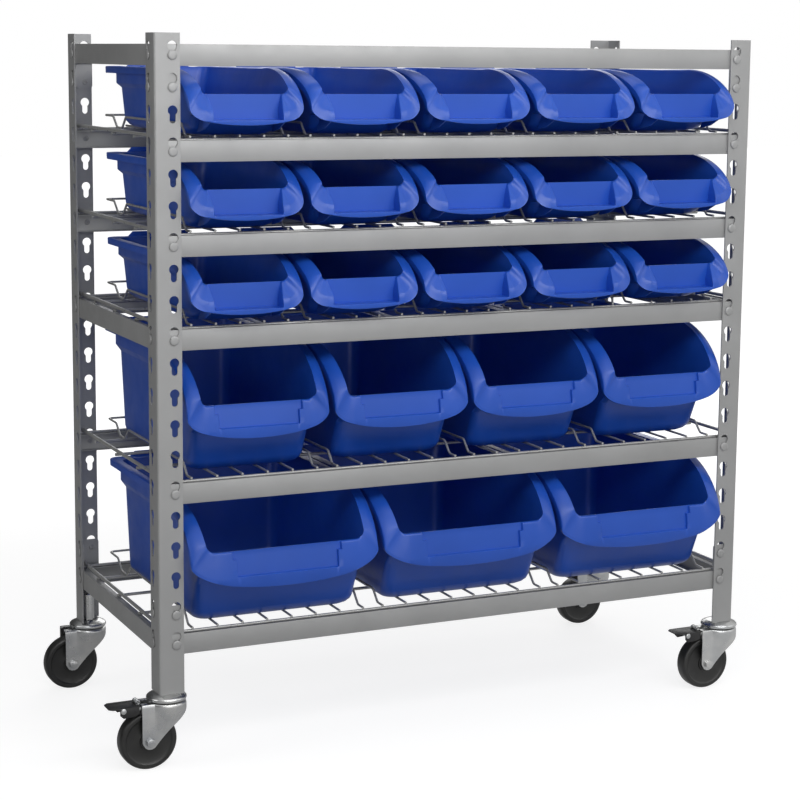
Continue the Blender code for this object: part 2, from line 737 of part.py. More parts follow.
def brake_arm(cutters):
    """The arm over the wheel that carries the brake, rounded about its rivet, and the rivet."""
    x, z = pedal_pivot()
    radius, width = BRAKE_ARM_RADIUS, cheek_gap() - FIT_GAP
    start, end = -CASTER_TRAIL - FORK_TAIL + WELD, -CASTER_TRAIL - FORK_TAIL + OVERRUN
    under_crown = fork_top() - FORK_CROWN + 2 * WELD
    tip = [(x + radius * math.cos(math.radians(a)), z + radius * math.sin(math.radians(a)))
           for a in (90, 135, 180, 225, 270)]
    outline = [*tip, (end, z - radius), (end, under_crown), (start, under_crown), (start, z + radius)]
    arm = prism("arm", outline, -width, width, along_y(0, 0, 0), cutters)
    pin_end = PEDAL_WIDTH / 2 + FIT_GAP
    head_end = pin_end + PEDAL_PIN_HEAD
    profile = [(0, -head_end), (PEDAL_PIN_HEAD_RADIUS, -pin_end), (PEDAL_PIN_RADIUS, -pin_end),
               (PEDAL_PIN_RADIUS, pin_end), (PEDAL_PIN_HEAD_RADIUS, pin_end), (0, head_end)]
    rivet = turned("brake_rivet", profile, PEDAL_PIN_SIDES, along_y(x, 0, z), cutters)
    return [arm, rivet]


def fork_mesh(braked, cutters):
    """Crown, two tapered cheeks and the axle bolt, as one piece."""
    outer = fork_half_width()
    top, tail = fork_top(), -CASTER_TRAIL - FORK_TAIL
    crown = turned("crown", [(0, top - FORK_CROWN), (FORK_CROWN_RADIUS, top - FORK_CROWN),
                             (FORK_CROWN_RADIUS, top), (0, top)], RACE_SIDES, Matrix.Identity(4), cutters)
    bridge_low = (tail + WELD, -outer + WELD, top - FORK_CROWN + WELD)
    bridge = block("bridge", bridge_low, (0, outer - WELD, top - WELD))
    legs = [prism("leg", leg_outline(), -near - FORK_SHEET, -near, along_y(0, 0, 0), cutters)
            for near in (outer - FORK_SHEET, -outer)]
    bolt_end = outer + BOLT_HEAD_HEIGHT
    profile = [(0, -bolt_end), (BOLT_HEAD_RADIUS, -bolt_end), (BOLT_HEAD_RADIUS, -outer + WELD),
               (AXLE_RADIUS, -outer + WELD), (AXLE_RADIUS, outer - WELD), (BOLT_HEAD_RADIUS, outer - WELD),
               (BOLT_HEAD_RADIUS, bolt_end), (0, bolt_end)]
    bolt = turned("axle_bolt", profile, AXLE_SIDES, along_y(-CASTER_TRAIL, 0, WHEEL_RADIUS), cutters)
    extras = [bridge, *legs, bolt] + (brake_arm(cutters) if braked else [])
    return combined("fork_braked" if braked else "fork", crown, extras, cutters)


def pedal_mesh(cutters):
    """A pressed channel: a flat foot plate with two cheeks, bored for the rivet. Zero is on the rivet."""
    x, z = pedal_pivot()
    right = -CASTER_TRAIL - FORK_TAIL - PEDAL_GAP - x
    top = CASTER_HEIGHT - PEDAL_DROP - z
    left = right - PEDAL_LENGTH
    half = PEDAL_WIDTH / 2
    plate = block("plate", (left, -half, top - PEDAL_SHEET), (right, half, top))
    low = top - PEDAL_CHEEK_DEPTH
    start = right - PEDAL_CHEEK_LENGTH
    rise = low + PEDAL_PIVOT_DROP
    cheek = [(start, rise), (start + PEDAL_PIVOT_DROP, low), (right - PEDAL_GAP, low + PEDAL_GAP),
             (right - PEDAL_GAP, top - WELD), (start, top - WELD)]
    cheeks = [prism("cheek", cheek, -near - PEDAL_SHEET, -near, along_y(0, 0, 0), cutters)
              for near in (cheek_gap(), -half)]
    channel = combined("channel", plate, cheeks, cutters)
    reach = half + OVERRUN
    radius = PEDAL_PIN_RADIUS + FIT_GAP
    bore = turned("bore", [(0, -reach), (radius, -reach), (radius, reach), (0, reach)],
                  PEDAL_PIN_SIDES, along_y(0, 0, 0), cutters)
    return combined("pedal", channel, [bore], cutters, "DIFFERENCE")


def add_casters(paints, collection, parent, cutters):
    forks = {braked: fork_mesh(braked, cutters) for braked in (True, False)}
    wheel, pedal = wheel_mesh(cutters), pedal_mesh(cutters)
    pivot_x, pivot_z = pedal_pivot()
    for corner, x, y in (("front_left", -SWIVEL_X, FRONT_SWIVEL_Y), ("front_right", SWIVEL_X, FRONT_SWIVEL_Y),
                         ("rear_left", -SWIVEL_X, REAR_SWIVEL_Y), ("rear_right", SWIVEL_X, REAR_SWIVEL_Y)):
        braked = y == FRONT_SWIVEL_Y
        swivel = anchor("swivel_" + corner, (x, y, 0), parent, collection)
        add("fork_" + corner, forks[braked], paints["zinc"], collection, swivel)
        add("wheel_" + corner, wheel, paints["tyre"], collection, swivel, (-CASTER_TRAIL, 0, WHEEL_RADIUS))
        if braked:
            add("brake_pedal_" + corner, pedal, paints["pedal"], collection, swivel, (pivot_x, 0, pivot_z))


def main():
    clear_scene()
    collection = new_collection("mobile_bin_cart")
    cutters = new_collection("cutters")
    paints = {
        "frame": material("grey_paint", (0.36, 0.36, 0.34), 0.45, 0.2),
        "wire": material("grey_wire", (0.30, 0.30, 0.29), 0.4, 0.4),
        "bin": material("blue_plastic", (0.02, 0.09, 0.55), 0.35, 0.0),
        "zinc": material("zinc", (0.60, 0.61, 0.60), 0.3, 0.9),
        "tyre": material("black_tyre", (0.015, 0.015, 0.014), 0.5, 0.0),
        "pedal": material("black_pedal", (0.03, 0.03, 0.03), 0.5, 0.2),
    }
    cart = anchor("cart", CART_OFFSET, None, collection)
    add_posts(paints["frame"], collection, cart, cutters)
    add_beams(paints["frame"], collection, cart, cutters)
    add_decks(paints["wire"], collection, cart, cutters)
    add_bins(paints["bin"], collection, cart)
    add_casters(paints, collection, cart, cutters)


main()
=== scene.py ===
import bpy
import bmesh
import math
from collections import namedtuple
from mathutils import Matrix, Vector


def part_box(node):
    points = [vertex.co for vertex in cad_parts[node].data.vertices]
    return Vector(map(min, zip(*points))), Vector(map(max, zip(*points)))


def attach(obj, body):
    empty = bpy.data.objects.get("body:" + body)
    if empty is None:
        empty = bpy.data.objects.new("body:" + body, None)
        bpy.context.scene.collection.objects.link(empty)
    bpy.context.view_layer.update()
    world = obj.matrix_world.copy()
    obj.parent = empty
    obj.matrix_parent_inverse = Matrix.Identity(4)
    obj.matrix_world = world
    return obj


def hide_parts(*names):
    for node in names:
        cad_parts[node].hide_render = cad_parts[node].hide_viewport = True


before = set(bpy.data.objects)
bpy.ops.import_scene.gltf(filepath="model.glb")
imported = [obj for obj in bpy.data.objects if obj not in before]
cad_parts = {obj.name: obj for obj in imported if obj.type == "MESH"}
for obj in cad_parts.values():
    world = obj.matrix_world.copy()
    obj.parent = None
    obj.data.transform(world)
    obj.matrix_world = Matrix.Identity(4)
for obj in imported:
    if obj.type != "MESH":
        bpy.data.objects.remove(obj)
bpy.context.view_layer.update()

# the frame's own middle: the beams end the same way left and right, front and rear
middleX = sum(c.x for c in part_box("beam_front_1")) / 2
middleY = sum(c.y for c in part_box("beam_left_1")) / 2
cart = {"width": 0.914, "depth": 0.406, "postLow": 0.102, "postHigh": 0.980}  # over the posts
leftX, rightX = middleX - cart["width"] / 2, middleX + cart["width"] / 2
frontY, rearY = middleY - cart["depth"] / 2, middleY + cart["depth"] / 2


def linked(name, data):
    item = bpy.data.objects.new(name, data)
    bpy.context.scene.collection.objects.link(item)
    return item


def applied(item):
    # the item's mesh, with its modifiers or its curve's thickness; the item itself goes
    bpy.context.view_layer.update()
    mesh = bpy.data.meshes.new_from_object(item.evaluated_get(bpy.context.evaluated_depsgraph_get()))
    bpy.data.objects.remove(item, do_unlink=True)
    return mesh


def addNode(tree, kind, **values):
    node = tree.nodes.new(kind)
    for key, value in values.items():
        if key in node.inputs:
            node.inputs[key].default_value = value
        else:
            setattr(node, key, value)
    return node


def emptyTree(holder):
    holder.use_nodes = True
    holder.node_tree.nodes.clear()
    return holder.node_tree


def ranged(tree, source, start, end, low, high, way="LINEAR"):
    # the source's value, taken from start and end to low and high
    limits = {"From Min": start, "From Max": end, "To Min": low, "To Max": high}
    spread = addNode(tree, "ShaderNodeMapRange", interpolation_type=way, **limits)
    tree.links.new(source, spread.inputs["Value"])
    return spread.outputs["Result"]


def mottle(tree, scale, low, high, detail=3.0):
    # noise that sits on the piece, between low and high, and as it comes
    place = addNode(tree, "ShaderNodeTexCoord")
    noise = addNode(tree, "ShaderNodeTexNoise", Scale=scale, Detail=detail)
    tree.links.new(place.outputs["Object"], noise.inputs["Vector"])
    return ranged(tree, noise.outputs["Fac"], 0.3, 0.7, low, high), noise.outputs["Fac"]


# the cloud is the scale at which the two tones drift, the sheen is a scale and a range of roughness,
# and the grain is a scale, its detail, its strength and its depth
finishLooks = {
    "grey_paint": {"name": "greyPowderCoat", "dark": (0.350, 0.352, 0.352), "light": (0.390, 0.392, 0.392),
                   "cloud": 14, "shader": {"Metallic": 0.25}, "sheen": (60, 0.40, 0.50),
                   "grain": (900, 1.0, 0.08, 0.0002)},
    "grey_wire": {"name": "greyWire", "dark": (0.38, 0.38, 0.37), "light": (0.46, 0.46, 0.45),
                  "cloud": 45, "shader": {"Metallic": 0.35}, "sheen": (160, 0.26, 0.38)},
    "blue_plastic": {"name": "bluePlastic", "dark": (0.010, 0.080, 0.48), "light": (0.017, 0.098, 0.56),
                     "cloud": 9, "shader": {"IOR": 1.49}, "sheen": (35, 0.30, 0.42),
                     "grain": (1400, 1.0, 0.05, 0.0001)},
    "zinc": {"name": "brightZinc", "dark": (0.40, 0.41, 0.42), "light": (0.56, 0.56, 0.55),
             "cloud": 30, "shader": {"Metallic": 1.0}, "sheen": (45, 0.24, 0.33),
             "grain": (500, 2.0, 0.015, 0.0001)},
    "tyre": {"name": "blackRubber", "dark": (0.010, 0.010, 0.010), "light": (0.020, 0.020, 0.019),
             "cloud": 40, "shader": {}, "sheen": (90, 0.34, 0.48), "grain": (900, 2.0, 0.10, 0.0001)},
    "black_steel": {"name": "blackSteel", "dark": (0.018, 0.018, 0.019), "light": (0.030, 0.030, 0.031),
                    "cloud": 70, "shader": {"Metallic": 0.3}, "sheen": (140, 0.36, 0.50),
                    "grain": (1100, 2.0, 0.12, 0.0001)},
}


def makeFinish(look):
    material = bpy.data.materials.new(look["name"])
    material.use_nodes = True
    tree = material.node_tree
    shader = tree.nodes["Principled BSDF"]
    for key, value in look["shader"].items():
        shader.inputs[key].default_value = value
    tones = addNode(tree, "ShaderNodeMix", data_type="RGBA")
    tones.inputs["A"].default_value = (*look["dark"], 1)
    tones.inputs["B"].default_value = (*look["light"], 1)
    tree.links.new(mottle(tree, look["cloud"], 0, 1)[0], tones.inputs["Factor"])
    tree.links.new(tones.outputs["Result"], shader.inputs["Base Color"])
    tree.links.new(mottle(tree, *look["sheen"])[0], shader.inputs["Roughness"])
    if "grain" in look:
        scale, detail, strength, depth = look["grain"]
        bump = addNode(tree, "ShaderNodeBump", Strength=strength, Distance=depth)
        tree.links.new(mottle(tree, scale, 0, 1, detail)[1], bump.inputs["Height"])
        tree.links.new(bump.outputs["Normal"], shader.inputs["Normal"])
    return material


finishes = {slotName: makeFinish(look) for slotName, look in finishLooks.items()}
print("materials ready")


def tidy(bm, merge=0.00002):
    bmesh.ops.remove_doubles(bm, verts=bm.verts, dist=merge)
    bmesh.ops.dissolve_degenerate(bm, dist=merge / 2, edges=bm.edges)
    bmesh.ops.recalc_face_normals(bm, faces=bm.faces)


def bevelled(bm, edges, width, segments, **more):
    bmesh.ops.bevel(bm, geom=edges, affect="EDGES", offset=width, segments=segments, profile=0.5,
                    material=-1, **more)


def softenEdges(bm, width, segments=2, angle=40):
    sharp = [e for e in bm.edges if len(e.link_faces) == 2 and e.calc_face_angle(0) > math.radians(angle)]
    bevelled(bm, sharp, width, segments, clamp_overlap=True)


def makePiece(name, shape, slotName, body, nodes, place, smoothAngle=35):
    mesh = shape.copy()
    mesh.name = name
    mesh.transform(place)
    mesh.materials.append(finishes[slotName])
    mesh.shade_smooth()
    mesh.set_sharp_from_angle(angle=math.radians(smoothAngle))
    piece = linked(name, mesh)
    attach(piece, body)
    if nodes:
        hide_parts(*nodes)


def toMesh(bm, name):
    mesh = bpy.data.meshes.new(name)
    bm.to_mesh(mesh)
    bm.free()
    return mesh


def joinInto(bm, part):
    bm.from_mesh(toMesh(part, "joined"))


def spun(bm, profile, steps):
    # a profile of (radius, height) points turned about an upright axis; the ends close on it
    points = [bm.verts.new((r, 0, z)) for r, z in profile]
    edges = [bm.edges.new(pair) for pair in zip(points, points[1:])]
    bmesh.ops.spin(bm, geom=points + edges, cent=(0, 0, 0), axis=(0, 0, 1), angle=math.tau,
                   steps=steps, use_merge=True)


def pushed(bm, drawn, along):
    # moves the corners that an extrusion has made
    made = [v for v in drawn["geom"] if isinstance(v, bmesh.types.BMVert)]
    bmesh.ops.translate(bm, verts=made, vec=along)


def prism(bm, outline, along):
    # a flat outline drawn out into a solid bar or plate
    face = bm.faces.new([bm.verts.new(corner) for corner in outline])
    pushed(bm, bmesh.ops.extrude_face_region(bm, geom=[face]), along)
    bmesh.ops.recalc_face_normals(bm, faces=bm.faces)


def draped(bm, rows):
    # a grid laid over rows of points
    last, lastPoint = len(rows) - 1, len(rows[0]) - 1
    bmesh.ops.create_grid(bm, x_segments=last, y_segments=lastPoint, size=0.5)
    for vert in bm.verts:
        vert.co = rows[round((vert.co.x + 0.5) * last)][round((vert.co.y + 0.5) * lastPoint)]


def mirrored(bm, axis, merge):
    bmesh.ops.mirror(bm, geom=bm.verts[:] + bm.edges[:] + bm.faces[:], matrix=Matrix.Identity(4),
                     merge_dist=merge, axis=axis)


def hexNut(bm, radius, depth, z):
    bmesh.ops.create_cone(bm, cap_ends=True, segments=6, radius1=radius, radius2=radius, depth=depth,
                          matrix=Matrix.Translation((0, 0, z)))


def block(centre, size):
    bm = bmesh.new()
    bmesh.ops.create_cube(bm, size=1, matrix=Matrix.Translation(centre) @ Matrix.Diagonal((*size, 1)))
    return bm


def turnedMesh(name, profile, steps, place=Matrix.Identity(4)):
    bm = bmesh.new()
    spun(bm, profile, steps)
    tidy(bm)
    bmesh.ops.transform(bm, matrix=place, verts=bm.verts)
    return toMesh(bm, name)


quarter = math.pi / 2
upward = Vector((0, 0, 1))


def towardsFront(x, y, z):
    return Matrix.Translation((x, y, z)) @ Matrix.Rotation(quarter, 4, "X")


def mixed(a, b, share):
    return a + (b - a) * share


def clamped(share):
    return min(max(share, 0), 1)


def eased(share):
    share = clamped(share)
    return share * share * (3 - 2 * share)


# open-front bins in three sizes; the turns say where, on the way round from the front's shape to the side's,
# the lip's rounded corner starts and ends
binLook = {
    "depth": 0.380, "wall": 0.0025, "sheet": 0.0022, "corner": 0.016, "innerCorner": 0.015,
    "bottomRound": 0.015, "rimReach": 0.0105, "ledgeReach": 0.007, "draft": 0.004, "rearDraft": 0.006,
    "rearStep": 0.003, "hangReach": 0.018, "setback": 0.054, "rim": 0.009, "rimLean": 0.009,
    "rimBulge": 0.0020, "chamfer": 0.0006, "roll": 0.003, "tabInset": 0.035, "tabRise": 0.007,
    "taper": 0.0035, "slack": 0.0005, "besideRecess": (0.0022, 0.0016), "neckDrop": 0.0055,
    "backDrop": 0.0075, "turns": (0.16, 0.7), "swell": 2.2, "sweepStart": 0.6, "mouthBend": 1.15,
    "lipEdge": ((1, 0.0012), (0.85, 0.0003), (0.5, 0), (0.15, 0.0003), (0, 0.0012)),
    "rimRows": (0.02, 0.07, 0.15, 0.26, 0.38, 0.50, 0.62, 0.74, 0.85, 0.92, 0.97),
    "tabRows": ((0.0004, 1), (0.0015, 1), (0.0027, 0.97), (0.0032, 0.8), (0.0035, 0.1)),
    "insideRows": (0.07, 0.14, 0.21, 0.28, 0.42, 0.7), "bottomTurns": (0, 22, 45, 68, 90),
    "rib": ((0.0035, 0.0185), (0.026, 0.0085), (0.049, 0.004)), "ribTop": 0.034, "ribInto": 0.0015,
    "ribThick": 0.0016,
}
# a column of a bin's right half: which part of the rim it is in, how far along, its x or its angle, how far
# it has turned from the front's shape to the side's, how much of the recess it has, its place beside it
binColumn = namedtuple("binColumn", "kind share x turned dent beside", defaults=(0, None))
# depths are from the foremost point of the lip, heights from the underside; first what two sizes share
deepBin = {"lipReach": 0.010, "lean": 0.007, "bend": 0.35, "bendRound": 0.45, "ledgeRise": 0.010,
           "recessFloor": 0, "recessDepth": 0.004, "slanted": False, "ribs": 0}
binSizes = {
    "small": {
        "width": 0.165, "height": 0.086, "lipLow": 0.0138, "lipEnd": 0.0198, "lipSide": 0.036,
        "lipTop": 0.054, "flare": 0.018, "bow": 0.0064, "flat": 0.048, "lipReach": 0.020, "lean": 0.018,
        "bend": 0.40, "bendRound": 0.14, "mouth": (0.0605, 0.008), "sweep": (0.005, 0.028, 0.129),
        "ledge": 0.0565, "ledgeRise": 0.006, "recess": (0.0206, 0.033), "recessHalf": (0.048, 0.0519),
        "recessFloor": 0.020, "recessDepth": 0, "slanted": True, "ribs": 0.052,
    },
    "medium": {
        **deepBin, "width": 0.209, "height": 0.163, "lipLow": 0.0505, "lipEnd": 0.060, "lipSide": 0.080,
        "lipTop": 0.097, "flare": 0.0225, "bow": 0.0025, "flat": 0.058, "mouth": (0.083, 0.012),
        "sweep": (0.0025, 0.070, 0.1375), "ledge": 0.125, "recess": (0.066, 0.085),
        "recessHalf": (0.0575, 0.0625),
    },
    "large": {
        **deepBin, "width": 0.279, "height": 0.169, "lipLow": 0.054, "lipEnd": 0.062, "lipSide": 0.088,
        "lipTop": 0.106, "flare": 0.0445, "bow": 0.0085, "flat": 0.080, "mouth": (0.115, 0.012),
        "sweep": (0.0085, 0.075, 0.1325), "ledge": 0.130, "recess": (0.072, 0.095),
        "recessHalf": (0.0735, 0.079),
    },
}


def binShell(size):
    look = binLook
    half, top, wall, sheet = size["width"] / 2, size["height"], look["wall"], look["sheet"]
    turnFront, turnSide = look["turns"]
    band, corner, chamfer = half - look["rimReach"], look["corner"], look["chamfer"]
    body = band - look["ledgeReach"]
    lipTop, lipSide, lipLow, lipEnd = size["lipTop"], size["lipSide"], size["lipLow"], size["lipEnd"]
    mouthY, lipWide = size["lipReach"] + wall, half - look["taper"]
    lipHalf = lipWide - size["flare"]
    low, step = size["recess"]
    halfLow, halfHigh = size["recessHalf"]
    mouthHalf, mouthRound = size["mouth"]
    mouthFlat = mouthHalf - mouthRound
    frontEnd = max(lipHalf, mouthFlat)
    sweepFront, sweepLow, sweep = size["sweep"]
    straightY = sweepFront + sweep

    def overLedge(z):
        return clamped((z - size["ledge"]) / size["ledgeRise"])

    def wallHalf(z):
        if z < size["ledge"]:
            return body - look["draft"] * (1 - z / size["ledge"])
        return mixed(body, band, overLedge(z))

    def wallRear(z):
        bandRear = look["depth"] - look["hangReach"]
        if z < size["ledge"]:
            return bandRear - look["rearStep"] - look["rearDraft"] * (1 - z / size["ledge"])
        return bandRear - look["rearStep"] * (1 - overLedge(z))

    def wallFront(z):
        return look["setback"] + (size["lipReach"] - look["setback"]) * z / lipTop

    def insideAt(column, z):
        # inside, the step over the ledge is spread all the way up to the rim
        rise = eased((z - size["ledge"]) / (top - size["ledge"]))
        low = min(z, size["ledge"])
        return around(column, mixed(wallHalf(low), band - look["slack"], rise) - wall, wallFront(z) + wall,
                      mixed(wallRear(low), wallRear(top), rise) - wall, look["innerCorner"], z)

    def lipBottom(x):
        over = clamped((x - lipHalf) / size["flare"])
        swell, end = (mixed(lipLow, lipEnd, (spot / lipHalf) ** look["swell"]) for spot in (x, lipWide))
        return swell + (lipSide - end) * (1 - math.sqrt(1 - over ** 2))

    def bowAt(x):
        return size["bow"] * (max(x - size["flat"], 0) / (lipWide - size["flat"])) ** 2

    def ramp(k):
        return (k + math.sqrt(k * k + size["bendRound"] ** 2)) / 2

    def faceY(z):
        start = -size["bend"] / (1 - size["bend"])
        k = ((z - lipLow) / (lipTop - lipLow) - size["bend"]) / (1 - size["bend"])
        return size["lean"] * (ramp(k) - ramp(start))

    def recessHalf(z):
        if z <= step:
            return halfLow
        return mixed(halfLow, halfHigh, (z - step) / (lipTop - step)) if size["slanted"] else halfHigh

    def recessY(z):
        return max(size["recessFloor"], min(faceY(z) + size["recessDepth"], mouthY - wall))

    # how the side's cut-away edge sweeps up: its angle runs from where the lip's corner ends to the level rim
    startTurn = math.asin((lipSide - sweepLow) / (top - sweepLow))
    innerTurn = math.asin((lipTop + mouthRound - sweepLow) / (top - sweepLow + 0.8 * look["rimLean"]))

    def sweepAt(turn):
        def past(angle):
            reach = sweepFront + sweep * (1 - math.cos(angle)) - size["bow"]
            return (reach + math.sqrt(reach * reach + 0.000002)) / 2
        fading = max(1 - (turn - startTurn) / look["sweepStart"], 0) ** 2
        y = size["bow"] + past(turn) - past(startTurn) * fading
        widened = eased((turn - startTurn) / (quarter - startTurn))
        return Vector((mixed(lipWide, half, widened), y, sweepLow + (top - sweepLow) * math.sin(turn)))

    # from the middle of the front round to the middle of the rear
    columns = [binColumn("front", 0, halfLow * part, 0, 1) for part in (0, 0.25, 0.5, 0.75, 0.93)]
    columns += [binColumn("front", 0, halfLow, 0, dent, beside)
                for dent, beside in ((1, -chamfer), (0.5, 0), (0, chamfer))]
    start = halfHigh + look["besideRecess"][0]
    columns += [binColumn("front", 0, mixed(start, frontEnd, part), turnFront * part)
                for part in (0, 0.35, 0.7, 1)]
    start = math.asin((frontEnd - lipHalf) / size["flare"])
    columns += [binColumn("corner", n / 9, mixed(start, quarter, n / 9), mixed(turnFront, turnSide, n / 9))
                for n in range(1, 10)]
    columns += [binColumn("side", 0, mixed(startTurn, innerTurn, n / 5), mixed(turnSide, 1, n / 5))
                for n in range(1, 6)]
    columns += [binColumn("side", 0, mixed(innerTurn, quarter, n / 12), 1) for n in range(1, 13)]
    columns += [binColumn("straight", n / 3, 0, 1) for n in range(1, 4)]
    columns += [binColumn("rearCorner", n / 5, 0, 1) for n in range(1, 6)]
    tabEnd, rearHalf = half - look["tabInset"], half - corner
    rearXs = [(rearHalf + tabEnd) / 2, tabEnd, tabEnd - look["tabRise"], tabEnd / 2, 0.0]
    columns += [binColumn("rear", x / rearHalf, x, 1) for x in rearXs]

    def around(column, halfWidth, front, rear, radius, z):
        # a point of a wall at one height, in that column
        kind, share, x = column[:3]
        if kind == "front":
            wide = x if column.beside is None else recessHalf(z) + column.beside
            return Vector((wide / frontEnd * (halfWidth - radius), front, z))
        toSide, toEnd = (radius * (1 - part(share * quarter)) for part in (math.sin, math.cos))
        if kind == "corner":
            return Vector((halfWidth - toSide, front + toEnd, z))
        if kind == "side":
            part = (sweepAt(x).y - size["bow"]) / (straightY - size["bow"])
            return Vector((halfWidth, mixed(front + radius, straightY, part), z))
        if kind == "straight":
            return Vector((halfWidth, mixed(straightY, rear - radius, share), z))
        if kind == "rearCorner":
            return Vector((halfWidth - toEnd, rear - toSide, z))
        return Vector((share * (halfWidth - radius), rear, z))

    def edgePoint(column):
        # the outer edge of the rim, the way its hanging band goes, and the way in through that band
        kind, share, x = column[:3]
        if kind in ("front", "corner"):
            lean = eased(share)
            if kind == "corner":
                x = lipHalf + size["flare"] * math.sin(x)
            elif column.beside is not None:
                x = halfLow + column.beside
            return Vector((x, bowAt(x), lipBottom(x))), Vector((0, 1, 0)), Vector((-lean, 0, 1 - lean))
        if kind == "side":
            return sweepAt(x), Vector((0, math.cos(x), -math.sin(x))), Vector((-1, 0, 0))
        place = around(column, half, 0, look["depth"], corner, top)
        inward = Vector((-1, 0, 0))
        if kind == "rearCorner":
            inward = Vector((-math.cos(share * quarter), -math.sin(share * quarter), 0))
        if kind == "rear":
            place.x = x
            place.z += look["tabRise"] * clamped((tabEnd - x) / look["tabRise"])
            inward = Vector((0, -1, 0))
        return place, Vector((0, 0, -1)), inward

    def sideMouth(turn):
        part = (turn - innerTurn) / (quarter - innerTurn)
        lean = look["rimLean"] * (1 - (turn / quarter) ** 2)
        point = sweepAt(turn) + Vector((0, -math.cos(turn) * lean, math.sin(turn) * lean))
        point.x = mixed(mouthHalf, band - wall - look["slack"], part ** look["mouthBend"])
        return point

    def mouthPoint(column):
        # the mouth's edge, and the way out of the plastic there
        kind, x = column.kind, column.x
        beside = halfHigh + look["besideRecess"][1]
        flatEnd = max(mouthFlat, beside)
        if kind == "front":
            if column.beside is not None:
                x = halfHigh + column.beside
            elif x > halfHigh:
                x = min(mixed(beside, mouthFlat, (x - halfHigh) / (frontEnd - halfHigh)), flatEnd)
            return Vector((x, mouthY, lipTop)), upward
        if kind == "corner" or (kind == "side" and x < innerTurn):
            # runs into the swept edge in its own direction
            part = (column.turned - turnFront) / (1 - turnFront)
            ended, past = sideMouth(innerTurn), sideMouth(innerTurn + 0.05)
            slope = (past - ended).normalized() * (ended.z - lipTop) * 1.6
            flat = Vector((0, mouthY, lipTop))
            point = flat.lerp(ended, eased(part)) + slope * (part ** 3 - part ** 2)
            point.x = mixed(flatEnd, mouthHalf, math.sin(part * quarter))
            return point, upward.lerp(Vector((0, -math.cos(innerTurn), math.sin(innerTurn))), eased(part))
        if kind == "side":
            return sideMouth(x), Vector((0, -math.cos(x), math.sin(x)))
        place = around(column, band - wall - look["slack"], 0, wallRear(top) - wall, corner, top)
        if kind == "rear":
            place.x = min(x, place.x)
        return place, upward

    def neckPoint(column):
        # where the outside wall runs into the rim
        kind, share = column[:2]
        edge, way = edgePoint(column)[:2]
        end = edge + way * look["rim"]
        if kind in ("front", "corner"):
            z = mixed(lipTop - look["neckDrop"], lipSide - 0.002, eased(share))
            front = mixed(wallFront(z), end.y - corner, eased(share))
            return around(column, wallHalf(z), front, 0, corner, z)
        if kind == "side":
            return Vector((wallHalf(end.z), end.y, end.z))
        z = top - look["rim"]
        return around(column, wallHalf(z), 0, wallRear(z), corner, z)

    ledge, rise, roll = size["ledge"], size["ledgeRise"], look["roll"]
    levels = [ledge * 0.45, ledge * 0.85]
    levels += [ledge + kink for kink in (-0.0006, 0.0008, rise - 0.0008, rise + 0.0006)]
    faceZs = [low - chamfer, low, low + chamfer, (low + step) / 2, step - 0.0002, step + 0.0002,
              (step + lipTop - roll) / 2, lipTop - roll, lipTop - roll * 0.5, lipTop - roll * 0.13, lipTop]
    rollYs = [0] * 8 + [roll * 0.13, roll * 0.5, roll]

    def frontRows(column):
        # the lip: up its back, round its lower edge, up its face and over its top
        dent = column.dent
        edge, mouth = edgePoint(column)[0], mouthPoint(column)[0]
        bow = edge.y

        def across(z):
            if column.beside is not None:
                return recessHalf(min(z, lipTop)) + column.beside
            return mixed(edge.x, mouth.x, clamped((z - edge.z) / (mouth.z - edge.z)))

        high, below = lipTop - look["backDrop"], low - sheet
        points = [Vector((across(high), bow + recessY(high) + sheet, high)),
                  Vector((across(below), bow + (recessY if dent == 1 else faceY)(below) + sheet, below)),
                  Vector((across(low), bow + faceY(low) + sheet, below - 0.0004))]
        points += [Vector((edge.x, bow + sheet * part, edge.z + lift)) for part, lift in look["lipEdge"]]
        lowRef = lipBottom(frontEnd)
        spread = eased(column.turned / turnFront) if column.kind == "front" else 1
        for n, (faceZ, rollY) in enumerate(zip(faceZs, rollYs)):
            share = (faceZ - lowRef) / (lipTop - lowRef)
            z = mixed(faceZ, mixed(edge.z, mouth.z, share), spread)
            level = min(mixed(faceZ, lipLow + (lipTop - lipLow) * share, spread), lipTop - roll)
            faced = faceY(level)
            rolled = faced + rollY
            y = mixed(bow, mouth.y, rolled / mouthY)
            if dent and n >= 1:
                floor = max(recessY(level), rolled + look["slack"]) if n >= 2 else faced + chamfer
                edged = rolled + (chamfer if n >= 2 else 0)
                y = min(floor, edged) if dent == 0.5 else floor
                z = min(z, lipTop - 0.0012 + max(n - 8, 0) * 0.0006)
            points.append(Vector((across(z), y, z)))
        backs = ((0, 0.0008, 0), (0, 0.0002, 0.0002), (0, 0, 0.0009))
        return points + [mouth - Vector(back) for back in backs]

    def sideRows(column):
        # the rim: up the inside of its hanging band, round the band's end, up its face and across the top
        kind = column.kind
        edge, way, inward = edgePoint(column)
        mouth, out = mouthPoint(column)
        neck = neckPoint(column)
        end = edge + way * (look["rim"] + (edge.z - top if kind == "rear" else 0))
        under = end + inward * sheet - way * 0.0006
        points = [neck.lerp(under, part) for part in (0.25, 0.5, 0.75)]
        points += [under, end + inward * sheet * 0.8, end + inward * sheet * 0.45 + way * 0.0003,
                   end + inward * sheet * 0.12, edge + way * 0.0012]
        bulge = look["rimBulge"] * (1 if kind in ("corner", "side") else 0.35)
        for n, share in enumerate(look["rimRows"]):
            point = edge.lerp(mouth, share) + out * bulge * math.sin(math.pi * share ** 0.8)
            if kind == "rear" and edge.z > top:
                back, up = look["tabRows"][min(n, 4)]
                start = Vector((edge.x, edge.y - back, top + (edge.z - top) * up))
                point = start if n < 5 else start.lerp(mouth, (n - 4) / 7)
                point.z = start.z if n < 5 else top
            points.append(point)
        return points + [mouth - out * 0.0001, mouth - out * 0.0005, mouth - out * 0.0014]

